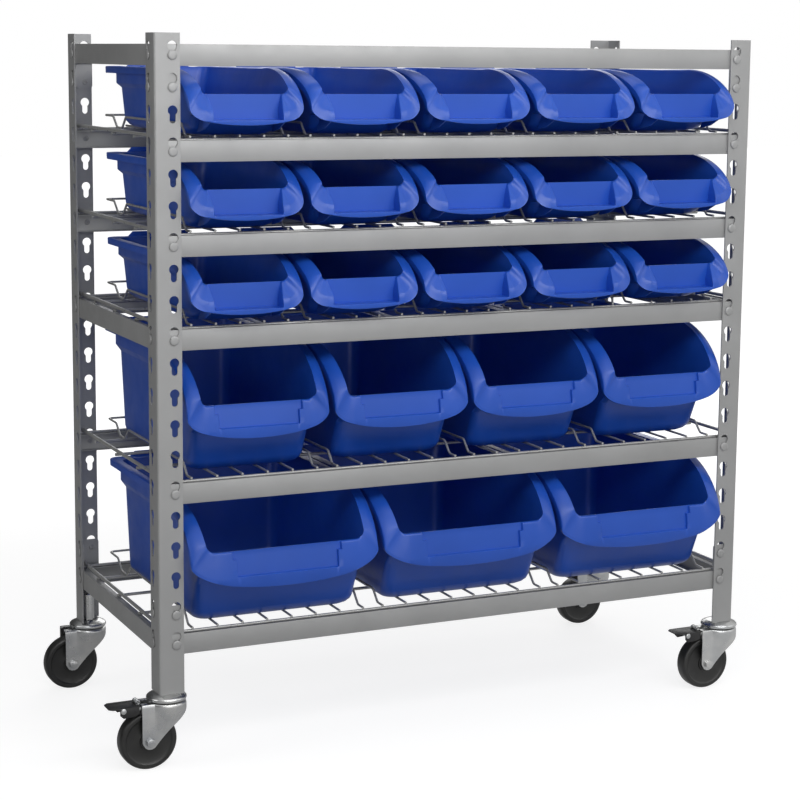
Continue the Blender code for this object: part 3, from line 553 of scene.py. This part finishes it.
    def wallAt(column, z, pull, radius):
        return around(column, wallHalf(z) - pull, wallFront(z) + pull, wallRear(z) - pull, radius, z)

    def bottomRows(column, inset, radius, turns):
        # the rounded edge between the bottom and the walls
        bends = [(1 - math.cos(math.radians(turn)), 1 - math.sin(math.radians(turn))) for turn in turns]
        return [wallAt(column, inset + look["bottomRound"] * up, inset + look["bottomRound"] * pull, radius)
                for up, pull in bends]

    def outside(column):
        neck = neckPoint(column)
        walls = [wallAt(column, z, 0, corner) if z < neck.z - look["slack"] else neck.copy() for z in levels]
        return bottomRows(column, 0, corner, look["bottomTurns"]) + walls + [neck]

    def inside(column, mouth):
        off = mouth - insideAt(column, mouth.z)
        points = []
        for part in look["insideRows"]:
            z = mixed(mouth.z, wall + look["bottomRound"], part)
            points.append(insideAt(column, z) + off * (1 - part) ** 2)
        return points + bottomRows(column, wall, look["innerCorner"], look["bottomTurns"][::-1])

    sheetRows = []
    for column in columns:
        blend = eased(column.turned)
        if blend < 1:
            fronts, sides = frontRows(column), sideRows(column)
            behind = max(blend, 0 if column.dent else eased(column.turned / turnFront))
            rim = [front.lerp(side, behind if n < 3 else blend)
                   for n, (front, side) in enumerate(zip(fronts, sides))]
        else:
            rim = sideRows(column)
        sheetRows.append(outside(column) + rim + inside(column, rim[-1]))
    bm = bmesh.new()
    draped(bm, sheetRows)
    mirrored(bm, "X", 0.00001)
    bmesh.ops.holes_fill(bm, edges=[e for e in bm.edges if len(e.link_faces) == 1], sides=0)
    tidy(bm)
    for side in (-1, 1) if size["ribs"] else ():
        # a stiffening plate under the lip
        x = side * size["ribs"] - look["ribThick"] / 2
        (front, _), foot, high = look["rib"][0], look["rib"][-1][1], look["ribTop"]
        profile = [*look["rib"], *((wallFront(z) + look["ribInto"], z) for z in (foot, high)), (front, high)]
        prism(bm, [(x, y, z) for y, z in profile], (look["ribThick"], 0, 0))
    return toMesh(bm, "binShell")


binShells = {kind: binShell(size) for kind, size in binSizes.items()}
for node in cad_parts:
    if node.startswith("bin_"):
        kind = node.split("_")[1]
        lowCorner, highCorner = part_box(node)
        place = Matrix.Translation(((lowCorner.x + highCorner.x) / 2, lowCorner.y, lowCorner.z))
        makePiece("blueBin_" + node[4:], binShells[kind], "blue_plastic", node, [node], place)
print("bins ready", {kind: len(m.polygons) for kind, m in binShells.items()})


# punched angle posts; the inset is from the corner to the middle of a keyhole
postLook = {"flange": 0.035, "sheet": 0.002, "bend": 0.003, "pitch": 0.04115, "firstHole": 0.0168,
            "inset": 0.0245, "headRadius": 0.0066, "slotWidth": 0.0082, "slotDrop": 0.0166, "cutReach": 0.004,
            "holes": 20}


def keyholeCutter(look):
    # a round head with a slot under it that ends in a half circle
    bm = bmesh.new()
    radius, slot = look["headRadius"], look["slotWidth"] / 2
    start = math.asin(slot / radius)
    turns = [mixed(-math.pi + start, math.pi - start, n / 18) for n in range(19)]
    head = [(radius * math.sin(a), radius * math.cos(a)) for a in turns]
    low = -look["slotDrop"] + slot
    foot = [(slot * math.cos(a), low - slot * math.sin(a)) for a in [math.pi * n / 8 for n in range(9)]]
    reach = look["cutReach"]
    prism(bm, [(x, -reach, z) for x, z in head + foot], (0, 2 * reach, 0))
    return toMesh(bm, "keyhole")


def angleBar(look, height):
    bm = bmesh.new()
    points = [bm.verts.new(p) for p in ((look["flange"], 0, 0), (0, 0, 0), (0, look["flange"], 0))]
    edges = [bm.edges.new(pair) for pair in zip(points, points[1:])]
    pushed(bm, bmesh.ops.extrude_edge_only(bm, edges=edges), (0, 0, height))
    bend = [e for e in bm.edges if len(e.link_faces) == 2]
    bevelled(bm, bend, look["bend"], 5)
    bmesh.ops.recalc_face_normals(bm, faces=bm.faces)
    if sum(f.normal.x + f.normal.y for f in bm.faces) > 0:
        bmesh.ops.reverse_faces(bm, faces=bm.faces)
    bmesh.ops.solidify(bm, geom=bm.faces[:], thickness=look["sheet"])
    bmesh.ops.recalc_face_normals(bm, faces=bm.faces)
    return toMesh(bm, "angleBar")


def cutMesh(base, cutter):
    solid, tool = linked("cutBase", base), linked("cutTool", cutter)
    step = solid.modifiers.new("cut", "BOOLEAN")
    step.operation = "DIFFERENCE"
    step.solver = "EXACT"
    step.object = tool
    result = applied(solid)
    bpy.data.objects.remove(tool, do_unlink=True)
    return result


def punchedPost():
    look = postLook
    height = cart["postHigh"] - cart["postLow"]
    cutter = bmesh.new()
    keyhole = keyholeCutter(look)
    swap = Matrix(((0, 1, 0, 0), (1, 0, 0, 0), (0, 0, 1, 0), (0, 0, 0, 1)))
    for turn in (Matrix.Identity(4), swap):
        for n in range(look["holes"]):
            copy = keyhole.copy()
            z = height - look["firstHole"] - n * look["pitch"]
            copy.transform(turn @ Matrix.Translation((look["inset"], 0, z)))
            if turn is swap:
                copy.flip_normals()
            cutter.from_mesh(copy)
    bm = bmesh.new()
    bm.from_mesh(cutMesh(angleBar(look, height), toMesh(cutter, "keyholes")))
    bmesh.ops.remove_doubles(bm, verts=bm.verts, dist=0.00001)
    bmesh.ops.dissolve_limit(bm, angle_limit=0.002, verts=bm.verts, edges=bm.edges)
    return toMesh(bm, "punchedPost")


casterLook = {
    "inset": 0.014, "trail": 0.028, "wheelRadius": 0.040, "crownRadius": 0.027, "tail": -0.039,
    "legY": 0.0165, "sheet": 0.0022, "eyeRadius": 0.010, "eyeEnd": -40, "noseZ": -0.0195, "noseX": 0.027,
    "noseBend": 0.93, "forkTop": -0.0095, "skirt": 0.0045, "narrowing": 0.045, "innerNose": -0.004,
    "tailXs": (-0.0345, -0.0305, -0.0260),
    "crownEdge": ((0.62, 0), (0.30, 0), (0.115, 0), (0.055, 0.0006), (0.015, 0.0022), (0, 0.0045)),
}
# the fixed half of a caster, with zero on the swivel axis at the post's foot; profiles are radius and height
raceLook = {
    "race": [(0, 0.0012), (0.016, 0.0012), (0.0205, 0.0002), (0.0225, -0.0012), (0.0255, -0.0022),
             (0.0272, -0.0040), (0.0275, -0.0058), (0.0268, -0.0076), (0.0250, -0.0086), (0.0, -0.0086)],
    "sleeve": [(0.0, 0.003), (0.0100, 0.003), (0.0100, 0.0405), (0.0085, 0.042), (0.0, 0.042)],
    "nutRadius": 0.0085, "nutDepth": 0.0060, "nutZ": 0.0035,
}


def upperRace(look):
    bm = bmesh.new()
    spun(bm, look["race"], 40)
    tidy(bm)
    hexNut(bm, look["nutRadius"], look["nutDepth"], look["nutZ"])
    spun(bm, look["sleeve"], 24)
    tidy(bm)
    return toMesh(bm, "upperRace")


postMesh = punchedPost()
raceMesh = upperRace(raceLook)
corners = {"front_left": (leftX, frontY, 0), "front_right": (rightX, frontY, quarter),
           "rear_right": (rightX, rearY, math.pi), "rear_left": (leftX, rearY, -quarter)}
for corner, (x, y, turn) in corners.items():
    place = Matrix.Translation((x, y, cart["postLow"])) @ Matrix.Rotation(turn, 4, "Z")
    makePiece("keyholePost_" + corner, postMesh, "grey_paint", "frame", ["post_" + corner], place)
    away = Matrix.Translation((casterLook["inset"], casterLook["inset"], 0))
    makePiece("casterRace_" + corner, raceMesh, "zinc", "frame", [], place @ away)
print("posts ready", len(postMesh.polygons))


# channel beams with rivets in the keyholes; the top and the bottom ones have gussets at their ends, which
# reach that far past the second rivet
beamLook = {"height": 0.028, "sheet": 0.0015, "ledge": 0.012, "ledgeDrop": 0.002, "footStep": 0.003,
            "rivetDrop": 0.0115, "shank": 0.0034, "headRadius": 0.0065, "headHeight": 0.0022, "gap": 0.0023,
            "sideGap": 0.0146, "soft": 0.0004, "gusset": {1: 0.009, -1: 0.0128}, "gussetInset": 0.011,
            "gussetRound": 0.004}
# the keyholes that the upper rivets sit in, counted from the top, and which way a gusset points there
beamHoles = (0, 3, 6, 9, 14, 19)
gussetWays = {0: 1, 19: -1}


def rivet(look):
    base = look["gap"] + 0.0003
    head, rise = look["headRadius"], look["headHeight"]
    tail = -look["sheet"]
    profile = [(0, tail - 0.0002), (0.0016, tail - 0.0002), (0.0022, tail - 0.0011), (0.0034, tail - 0.0011),
               (0.0040, tail - 0.0005), (0.0040, tail + 0.0002), (look["shank"], tail / 2),
               (look["shank"], base), (head - 0.0004, base), (head, base + 0.0005),
               (head - 0.0002, base + rise * 0.55), (head * 0.80, base + rise * 0.88),
               (head * 0.55, base + rise), (0, base + rise)]
    return turnedMesh("rivet", profile, 20)


def channelBeam(look, length, rivetXs, gusset):
    # the web's outer face is at zero and faces the front; zero height is its lower edge
    bm = bmesh.new()
    ledge = look["height"] - look["ledgeDrop"]
    sheet, reach = look["sheet"], look["ledge"]
    foot = reach - look["footStep"]
    section = [(0, 0), (foot, 0), (foot, sheet), (sheet, sheet), (sheet, ledge - sheet),
               (reach, ledge - sheet), (reach, ledge), (sheet, ledge), (sheet, look["height"]),
               (0, look["height"])]
    prism(bm, [(-length / 2, y, z) for y, z in section], (length, 0, 0))
    softenEdges(bm, look["soft"])
    middle = look["height"] / 2
    heights = [middle]
    if gusset:
        heights.append(middle - gusset * postLook["pitch"])
        tip = middle - gusset * (postLook["pitch"] + look["gusset"][gusset])
        for side in (-1, 1):
            outer, inner = side * length / 2, side * (rivetXs[1] - look["gussetInset"])
            plate = block(((outer + inner) / 2, sheet / 2, (middle + tip) / 2),
                          (abs(outer - inner), sheet - 0.0001, abs(middle - tip)))
            corners = [e for e in plate.edges if abs(e.verts[0].co.y - e.verts[1].co.y) > sheet / 2
                       and abs(e.verts[0].co.x - inner) < 0.0001]
            bevelled(plate, corners, look["gussetRound"], 4)
            joinInto(bm, plate)
    stud = rivet(look)
    for x in rivetXs:
        for z in heights:
            copy = stud.copy()
            copy.transform(towardsFront(x, 0, z))
            bm.from_mesh(copy)
    return toMesh(bm, "beam")


beamMeshes = {}
gap = beamLook["gap"]
beamSpots = [("front", "long", (middleX, frontY + gap), 0), ("rear", "long", (middleX, rearY - gap), math.pi),
             ("left", "side", (leftX + gap, middleY), -quarter),
             ("right", "side", (rightX - gap, middleY), quarter)]
for n, hole in enumerate(beamHoles, 1):
    gusset = gussetWays.get(hole, 0)
    for kind, span, start in (("long", cart["width"], gap), ("side", cart["depth"], beamLook["sideGap"])):
        reach = span / 2 - postLook["inset"]
        if (kind, gusset) not in beamMeshes:
            beamMeshes[kind, gusset] = channelBeam(beamLook, span - 2 * start, (-reach, reach), gusset)
    height = cart["postHigh"] - postLook["firstHole"] - hole * postLook["pitch"]
    height -= beamLook["rivetDrop"] + beamLook["height"] / 2
    for side, kind, (x, y), turn in beamSpots:
        node = f"beam_{side}_{n}"
        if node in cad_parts:
            place = Matrix.Translation((x, y, height)) @ Matrix.Rotation(turn, 4, "Z")
            beam = beamMeshes[kind, gusset]
            makePiece(f"channelBeam_{side}_{n}", beam, "grey_paint", "frame", [node], place)
print("beams ready")


# welded wire decks: depths are from the posts' front face, and each bin has a loop that dips near its rear
deckLook = {"rod": 0.00225, "sideRod": 0.0026, "wire": 0.0017, "edge": 0.0108, "rodInset": 0.008,
            "sideInset": 0.012, "underYs": (0.118, 0.218, 0.318), "bite": 0.0003, "wireLift": 0.0019,
            "overhang": 0.002, "tipReach": 0.0022, "rise": 0.016, "bendRadius": 0.007, "lead": (0.027, 0.043),
            "dip": (0.288, 0.306, 0.330, 0.350), "stopY": 0.390, "bay": 0.844, "loopInset": 0.0139}
# the kind of bin, bins a row and straight wires a bin
deckKinds = {"deck_1": ("small", 5, 3), "deck_2": ("small", 5, 3), "deck_3": ("small", 5, 3),
             "deck_4": ("medium", 4, 4), "deck_5": ("large", 3, 6)}


def rounded(path, radius):
    # the path with each bend drawn as a short arc
    points = [Vector(path[0])]
    for before, here, after in zip(path, path[1:], path[2:]):
        here = Vector(here)
        back, ahead = (Vector(before) - here), (Vector(after) - here)
        turn = math.pi - back.angle(ahead)
        if turn < 0.05:
            points.append(here)
            continue
        reach = min(radius * math.tan(turn / 2), back.length * 0.45, ahead.length * 0.45)
        start, end = here + back.normalized() * reach, here + ahead.normalized() * reach
        steps = max(2, round(turn / 0.35))
        for n in range(steps + 1):
            share = n / steps
            points.append(start.lerp(here, share).lerp(here.lerp(end, share), share))
    points.append(Vector(path[-1]))
    return points


def wireMesh(name, paths, radius, bend):
    curve = bpy.data.curves.new(name, "CURVE")
    curve.dimensions = "3D"
    curve.bevel_depth = radius
    curve.bevel_resolution = 3
    curve.use_fill_caps = True
    for path in paths:
        points = rounded(path, bend) if len(path) > 2 else [Vector(p) for p in path]
        spline = curve.splines.new("POLY")
        spline.points.add(len(points) - 1)
        for spot, point in zip(spline.points, points):
            spot.co = (*point, 1)
    bm = bmesh.new()
    bm.from_mesh(applied(linked(name, curve)))
    bmesh.ops.remove_doubles(bm, verts=bm.verts, dist=0.00001)
    bmesh.ops.recalc_face_normals(bm, faces=bm.faces)
    return toMesh(bm, name)


def wireDeck(kind, count, straightCount):
    # zero height is the middle of the front rod; zero depth is the posts' front face
    look = deckLook
    half = binSizes[kind]["width"] / 2 - look["loopInset"]
    level = look["rod"] + look["wireLift"]
    high = level + look["rise"]
    end = cart["width"] / 2 - look["rodInset"]
    front, rear, over = look["edge"], cart["depth"] - look["edge"], look["overhang"]
    rods = [[(-end, y, 0), (end, y, 0)] for y in (front, *look["underYs"], rear)]
    sideX = cart["width"] / 2 - look["sideInset"]
    sideLevel = look["rod"] + look["sideRod"] - look["bite"]
    sides = [[(x, front - over, sideLevel), (x, rear + over, sideLevel)] for x in (-sideX, sideX)]
    tip = front - look["tipReach"]
    depths = (tip, *look["lead"], *look["dip"], look["stopY"])
    run = list(zip(depths, (level, level, high, high, level, level, high, high)))
    straight, loops = [], []
    for n in range(count):
        centre = (n + (1 - count) / 2) * look["bay"] / count
        for k in range(straightCount):
            x = centre + half * (2 * (k + 1) / (straightCount + 1) - 1)
            straight.append([(x, tip, level), (x, rear + over, level)])
        loops.append([(centre - half, y, z) for y, z in run]
                     + [(centre + half, y, z) for y, z in reversed(run)])
    bm = bmesh.new()
    for paths, radius, bend in ((rods, look["rod"], 0), (sides, look["sideRod"], 0),
                                (straight, look["wire"], 0), (loops, look["wire"], look["bendRadius"])):
        bm.from_mesh(wireMesh("wires", paths, radius, bend))
    return toMesh(bm, "wireDeck")


deckMeshes = {}
for node, (kind, count, straightCount) in deckKinds.items():
    if kind not in deckMeshes:
        deckMeshes[kind] = wireDeck(kind, count, straightCount)
    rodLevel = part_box(node)[0].z + deckLook["rod"]
    makePiece("wireDeck_" + node[5:], deckMeshes[kind], "grey_wire", "frame", [node],
              Matrix.Translation((middleX, frontY, rodLevel)), 50)
print("decks ready", {kind: len(m.polygons) for kind, m in deckMeshes.items()})


# casters, drawn with the swivel axis at zero and the post's foot at zero height
def forkSkin(look):
    # one sheet: the top plate, its rounded edge, and the skirt that runs down into the two cheeks
    radius, tail, legY = look["crownRadius"], look["tail"], look["legY"]
    crease = -math.sqrt(radius ** 2 - legY ** 2)
    axle = Vector((-look["trail"], -(cart["postLow"] - look["wheelRadius"])))
    flatXs = [tail, tail + 0.0015, *look["tailXs"], crease - 0.001]
    startTurn = math.atan2(-legY, crease)
    turns = [mixed(startTurn, 0, n / 16) for n in range(17)]
    outline = [(x, -legY) for x in flatXs] + [(radius * math.cos(a), radius * math.sin(a)) for a in turns]
    eye, tangent = look["eyeRadius"], math.radians(look["eyeEnd"])
    tangentX, tangentZ = axle.x + eye * math.cos(tangent), axle.y + eye * math.sin(tangent)

    def lowerEdge(x):
        # round the axle's eye, then straight up to the nose
        if x <= tangentX:
            return axle.y - math.sqrt(max(eye ** 2 - (x - axle.x) ** 2, 0))
        part = min((x - tangentX) / (look["noseX"] - tangentX), 1)
        return mixed(tangentZ, look["noseZ"], part ** look["noseBend"])

    top, skirt = look["forkTop"], look["skirt"]
    columns = []
    for x, y in outline:
        points = []
        for pull, drop in look["crownEdge"]:
            inX = mixed(x, min(x, look["innerNose"]), pull) if x > 0 else x
            points.append(Vector((inX, y * (1 - pull), top - drop)))
        low = lowerEdge(x)
        for n in range(1, 9):
            z = mixed(top - skirt, low, n / 8)
            narrow = eased((top - z) / look["narrowing"])
            points.append(Vector((x, mixed(y, max(y, -legY), narrow), z)))
        columns.append(points)
    bm = bmesh.new()
    draped(bm, columns)
    mirrored(bm, "Y", 0.0002)
    tidy(bm, 0.0001)
    bm.faces.ensure_lookup_table()
    rim = [e for e in bm.edges if len(e.link_faces) == 1 and all(abs(v.co.z - top) < 0.0001 for v in e.verts)]
    inner = [e for e in rim if not all(v.co.x < tail + 0.0001 for v in e.verts)]
    bmesh.ops.holes_fill(bm, edges=inner, sides=0)
    bmesh.ops.recalc_face_normals(bm, faces=bm.faces)
    highest = max(bm.faces, key=lambda f: f.calc_center_median().z)
    if highest.normal.z < 0:
        bmesh.ops.reverse_faces(bm, faces=bm.faces)
    bmesh.ops.solidify(bm, geom=bm.faces[:], thickness=look["sheet"])
    return bm


# the head and the washer are radius and thickness, from the cheek outwards
boltLook = {"head": (0.0066, 0.0042), "headOut": 0.0026, "headSoft": 0.0005, "washer": (0.0074, 0.0008),
            "washerOut": 0.0001, "shank": 0.0039}


def axleBolt(look, outer):
    bm = bmesh.new()
    for side in (1, -1):
        head = bmesh.new()
        hexNut(head, *look["head"], side * (outer + look["headOut"]))
        softenEdges(head, look["headSoft"])
        joinInto(bm, head)
        washer = bmesh.new()
        radius, near = look["washer"][0], outer + look["washerOut"]
        far = near + look["washer"][1]
        spun(washer, [(0, side * near), (radius, side * near), (radius, side * far), (0, side * far)], 28)
        tidy(washer)
        joinInto(bm, washer)
    spun(bm, [(0, -outer), (look["shank"], -outer), (look["shank"], outer), (0, outer)], 20)
    tidy(bm)
    axleZ = casterLook["wheelRadius"] - cart["postLow"]
    bmesh.ops.transform(bm, matrix=towardsFront(-casterLook["trail"], 0, axleZ), verts=bm.verts)
    return toMesh(bm, "axleBolt")


wheelLook = {"half": 0.0105, "hubHalf": 0.01225, "hub": 0.0125, "bore": 0.0042}


def wheelMesh(look):
    radius, half, hub, hubHalf = casterLook["wheelRadius"], look["half"], look["hub"], look["hubHalf"]
    side = [(look["bore"], hubHalf), (hub - 0.0008, hubHalf), (hub, hubHalf - 0.0008), (hub + 0.0006, 0.0090),
            (0.0150, 0.0084), (0.0300, 0.0086), (0.0318, 0.0094), (0.0330, half - 0.0001), (0.0345, half),
            (0.0368, half), (0.0385, half - 0.0010), (0.0396, half - 0.0030), (radius, half - 0.0052)]
    profile = side + [(r, -y) for r, y in reversed(side)]
    return turnedMesh("wheel", profile + profile[:1], 64, towardsFront(0, 0, 0))


pedalLook = {
    "pivotX": -0.0645, "pivotZ": -0.0145, "left": -0.084, "right": -0.041, "half": 0.0155, "top": -0.010,
    "sheet": 0.0018, "cut": 0.005, "cheekLow": -0.0245, "cheekStart": -0.069, "soft": 0.0006,
    "cheekSoft": 0.0004, "pin": 0.0022, "pinHead": 0.0038, "armX": -0.0515, "arm": (0.026, 0.026, 0.0048),
    "armSoft": 0.0012,
}


def brakePedal(look):
    left, right, half, top, sheet = (look[key] for key in ("left", "right", "half", "top", "sheet"))
    cut, start, low = look["cut"], look["cheekStart"], look["cheekLow"]
    outline = [(left + cut, -half), (start, -half), (right, -half), (right, half), (start, half),
               (left + cut, half), (left, half - cut), (left, -half + cut)]
    bm = bmesh.new()
    prism(bm, [(x, y, top - sheet) for x, y in outline], (0, 0, sheet))
    softenEdges(bm, look["soft"])
    cheek = [(start, top - 0.001), (start, low + 0.0045), (start + 0.0045, low), (right - 0.008, low + 0.001),
             (right - 0.0015, low + 0.004), (right - 0.0015, top - 0.001)]
    for side in (-1, 1):
        plate = bmesh.new()
        prism(plate, [(x, side * half, z) for x, z in cheek], (0, -side * sheet, 0))
        softenEdges(plate, look["cheekSoft"])
        joinInto(bm, plate)
    return toMesh(bm, "brakePedal")


def brakeRivet(look):
    half, pin, head = look["half"], look["pin"], look["pinHead"]
    side = [(pin, half + 0.0002), (head, half + 0.0002), (head, half + 0.0006), (head * 0.75, half + 0.0013),
            (0, half + 0.0016)]
    profile = [(r, -y) for r, y in reversed(side)] + side
    bm = bmesh.new()
    bm.from_mesh(turnedMesh("brakeRivet", profile, 24, towardsFront(look["pivotX"], 0, look["pivotZ"])))
    arm = block((look["armX"], 0, look["pivotZ"]), look["arm"])
    softenEdges(arm, look["armSoft"], 3)
    joinInto(bm, arm)
    return toMesh(bm, "brakeRivet")


springLook = {"radius": 0.0030, "gauge": 0.0006, "turns": 7, "steps": 14, "length": 0.016,
              "start": (-0.0425, -0.0080, -0.0075)}


def returnSpring(look):
    # a small closed coil between the pedal and the crown
    x, y, z = look["start"]
    radius, count = look["radius"], look["turns"] * look["steps"]
    points = []
    for n in range(count + 1):
        a = math.tau * n / look["steps"]
        points.append((x + radius * math.cos(a), y + n / count * look["length"], z + radius * math.sin(a)))
    return wireMesh("returnSpring", [points], look["gauge"], 0)


skin = forkSkin(casterLook)
skin.from_mesh(axleBolt(boltLook, casterLook["legY"]))
forkMesh = toMesh(skin, "fork")
wheel = wheelMesh(wheelLook)
pedal, arm, spring = brakePedal(pedalLook), brakeRivet(pedalLook), returnSpring(springLook)
for corner in corners:
    wheelLow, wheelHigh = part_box("wheel_" + corner)
    axleX, axleY = (wheelLow.x + wheelHigh.x) / 2, (wheelLow.y + wheelHigh.y) / 2
    axle = Matrix.Translation((axleX, axleY, casterLook["wheelRadius"]))
    swivel = Matrix.Translation((axleX + casterLook["trail"], axleY, cart["postLow"]))
    fork, pedalNode = "fork_" + corner, "brake_pedal_" + corner
    makePiece("casterFork_" + corner, forkMesh, "zinc", fork, [fork], swivel, 40)
    makePiece("casterWheel_" + corner, wheel, "tyre", "wheel_" + corner, ["wheel_" + corner], axle, 30)
    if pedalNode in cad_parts:
        makePiece("brakePedal_" + corner, pedal, "black_steel", pedalNode, [pedalNode], swivel)
        makePiece("brakeArm_" + corner, arm, "zinc", fork, [], swivel)
        makePiece("brakeSpring_" + corner, spring, "zinc", fork, [], swivel, 60)
print("casters ready")


# the room: the sky fills in softly, and the floor's glow and the sky's bright side are only for the camera
# and the reflections, so the lamps light the cart
skyLook = {"bright": (0.55, -0.65, 0.5), "spread": (-0.5, 0.75), "fill": (0.06, 0.26), "glossy": (0.06, 0.9)}
floorLook = {"size": 30, "albedo": 0.36, "glow": (0.80, 1.02), "glowReach": (0.9, 2.4),
             "mirrored": (0.06, 0.60), "mirroredReach": (-1.2, 1.2)}


def makeFloor(look):
    bm = bmesh.new()
    bmesh.ops.create_grid(bm, x_segments=1, y_segments=1, size=look["size"] / 2)
    mesh = toMesh(bm, "floor")
    material = bpy.data.materials.new("floorWhite")
    tree = emptyTree(material)
    out = addNode(tree, "ShaderNodeOutputMaterial")
    matt = addNode(tree, "ShaderNodeBsdfDiffuse", Color=(look["albedo"],) * 3 + (1,))
    ray = addNode(tree, "ShaderNodeLightPath")
    place = addNode(tree, "ShaderNodeTexCoord")
    away = addNode(tree, "ShaderNodeVectorMath", operation="LENGTH")
    side = addNode(tree, "ShaderNodeVectorMath", operation="DOT_PRODUCT")
    side.inputs[1].default_value = Vector((*skyLook["bright"][:2], 0)).normalized()
    glows = []
    for measure, reach, strengths, kind in ((away, look["glowReach"], look["glow"], "Is Camera Ray"),
                                            (side, look["mirroredReach"], look["mirrored"], "Is Glossy Ray")):
        tree.links.new(place.outputs["Object"], measure.inputs[0])
        scale = addNode(tree, "ShaderNodeMath", operation="MULTIPLY")
        rise = ranged(tree, measure.outputs["Value"], *reach, *strengths, "SMOOTHSTEP")
        tree.links.new(rise, scale.inputs[0])
        tree.links.new(ray.outputs[kind], scale.inputs[1])
        glows.append(scale)
    total = addNode(tree, "ShaderNodeMath", operation="ADD")
    glow = addNode(tree, "ShaderNodeEmission")
    add = addNode(tree, "ShaderNodeAddShader")
    for source, socket in ((glows[0], total.inputs[0]), (glows[1], total.inputs[1]),
                           (total, glow.inputs["Strength"]), (matt, add.inputs[0]), (glow, add.inputs[1]),
                           (add, out.inputs["Surface"])):
        tree.links.new(source.outputs[0], socket)
    mesh.materials.append(material)
    linked("floor", mesh)


def makeSky(look):
    # brighter towards the front, the right and above, dim behind and on the left
    world = bpy.data.worlds.new("studio")
    bpy.context.scene.world = world
    tree = emptyTree(world)
    out = addNode(tree, "ShaderNodeOutputWorld")
    place = addNode(tree, "ShaderNodeTexCoord")
    facing = addNode(tree, "ShaderNodeVectorMath", operation="DOT_PRODUCT")
    facing.inputs[1].default_value = Vector(look["bright"]).normalized()
    tree.links.new(place.outputs["Generated"], facing.inputs[0])
    ray = addNode(tree, "ShaderNodeLightPath")
    reflected = addNode(tree, "ShaderNodeMix")
    tree.links.new(ray.outputs["Is Glossy Ray"], reflected.inputs["Factor"])
    for socket, strengths in (("A", look["fill"]), ("B", look["glossy"])):
        shade = ranged(tree, facing.outputs["Value"], *look["spread"], *strengths, "SMOOTHSTEP")
        tree.links.new(shade, reflected.inputs[socket])
    seen = addNode(tree, "ShaderNodeMix", B=1.0)
    tree.links.new(ray.outputs["Is Camera Ray"], seen.inputs["Factor"])
    tree.links.new(reflected.outputs["Result"], seen.inputs["A"])
    white = addNode(tree, "ShaderNodeBackground", Color=(1, 1, 1, 1))
    tree.links.new(seen.outputs["Result"], white.inputs["Strength"])
    tree.links.new(white.outputs[0], out.inputs["Surface"])


def lamp(name, place, aim, size, power):
    data = bpy.data.lights.new(name, "AREA")
    data.shape = "RECTANGLE"
    data.size, data.size_y = size
    data.energy = power
    light = linked(name, data)
    light.location = place
    light.rotation_euler = (Vector(aim) - Vector(place)).to_track_quat("-Z", "Y").to_euler()


# place, aim, width and height, power
lamps = {
    "keyPanel": ((-0.05, -1.35, 1.4), (0, -0.2, 0.8), (2.2, 0.5), 13.5),
    "leftPanel": ((-2.3, -0.2, 1.2), (-0.3, 0, 0.6), (1.0, 1.0), 8),
    "rightPanel": ((2.4, -1.5, 1.5), (0, 0, 0.6), (1.2, 1.6), 5),
    "topPanel": ((0.2, 0.1, 2.6), (0, 0, 0.5), (2.2, 1.4), 9),
    "frontPanel": ((-0.3, -3.0, 0.8), (0, 0, 0.5), (1.8, 1.2), 9),
    "rearPanel": ((1.3, 2.5, 1.3), (0, 0, 0.6), (2.0, 1.4), 18),
}


# fitted to the photograph: focal length in its pixels, place from the middle of the cart's front, with the
# posts' feet at that height
cameraLook = {"focal": 1993.49, "yaw": 24.9709, "pitch": 8.5262, "roll": 0.5354, "shift": -0.06,
              "place": (-1.2545, -2.4646, 0.9002), "postLow": 0.0456, "picture": 800, "sensor": 36}


def camera(view):
    data = bpy.data.cameras.new("camera")
    data.sensor_width = view["sensor"]
    data.lens = view["focal"] / view["picture"] * view["sensor"]
    data.shift_y = view["shift"]
    data.clip_start = 0.01
    eye = linked("camera", data)
    yaw, pitch = math.radians(view["yaw"]), math.radians(view["pitch"])
    ahead = Vector((math.sin(yaw) * math.cos(pitch), math.cos(yaw) * math.cos(pitch), -math.sin(pitch)))
    right = Vector((math.cos(yaw), -math.sin(yaw), 0))
    turn = Matrix((right, right.cross(ahead), -ahead)).transposed().to_4x4()
    x, y, z = view["place"]
    place = Matrix.Translation((x + middleX, y + frontY, z + cart["postLow"] - view["postLow"]))
    eye.matrix_world = place @ turn @ Matrix.Rotation(math.radians(view["roll"]), 4, "Z")
    bpy.context.scene.camera = eye


makeFloor(floorLook)
makeSky(skyLook)
for name, (place, aim, size, power) in lamps.items():
    lamp(name, place, aim, size, power)
camera(cameraLook)
bpy.context.scene.view_settings.view_transform = "Standard"

print("scene ready")
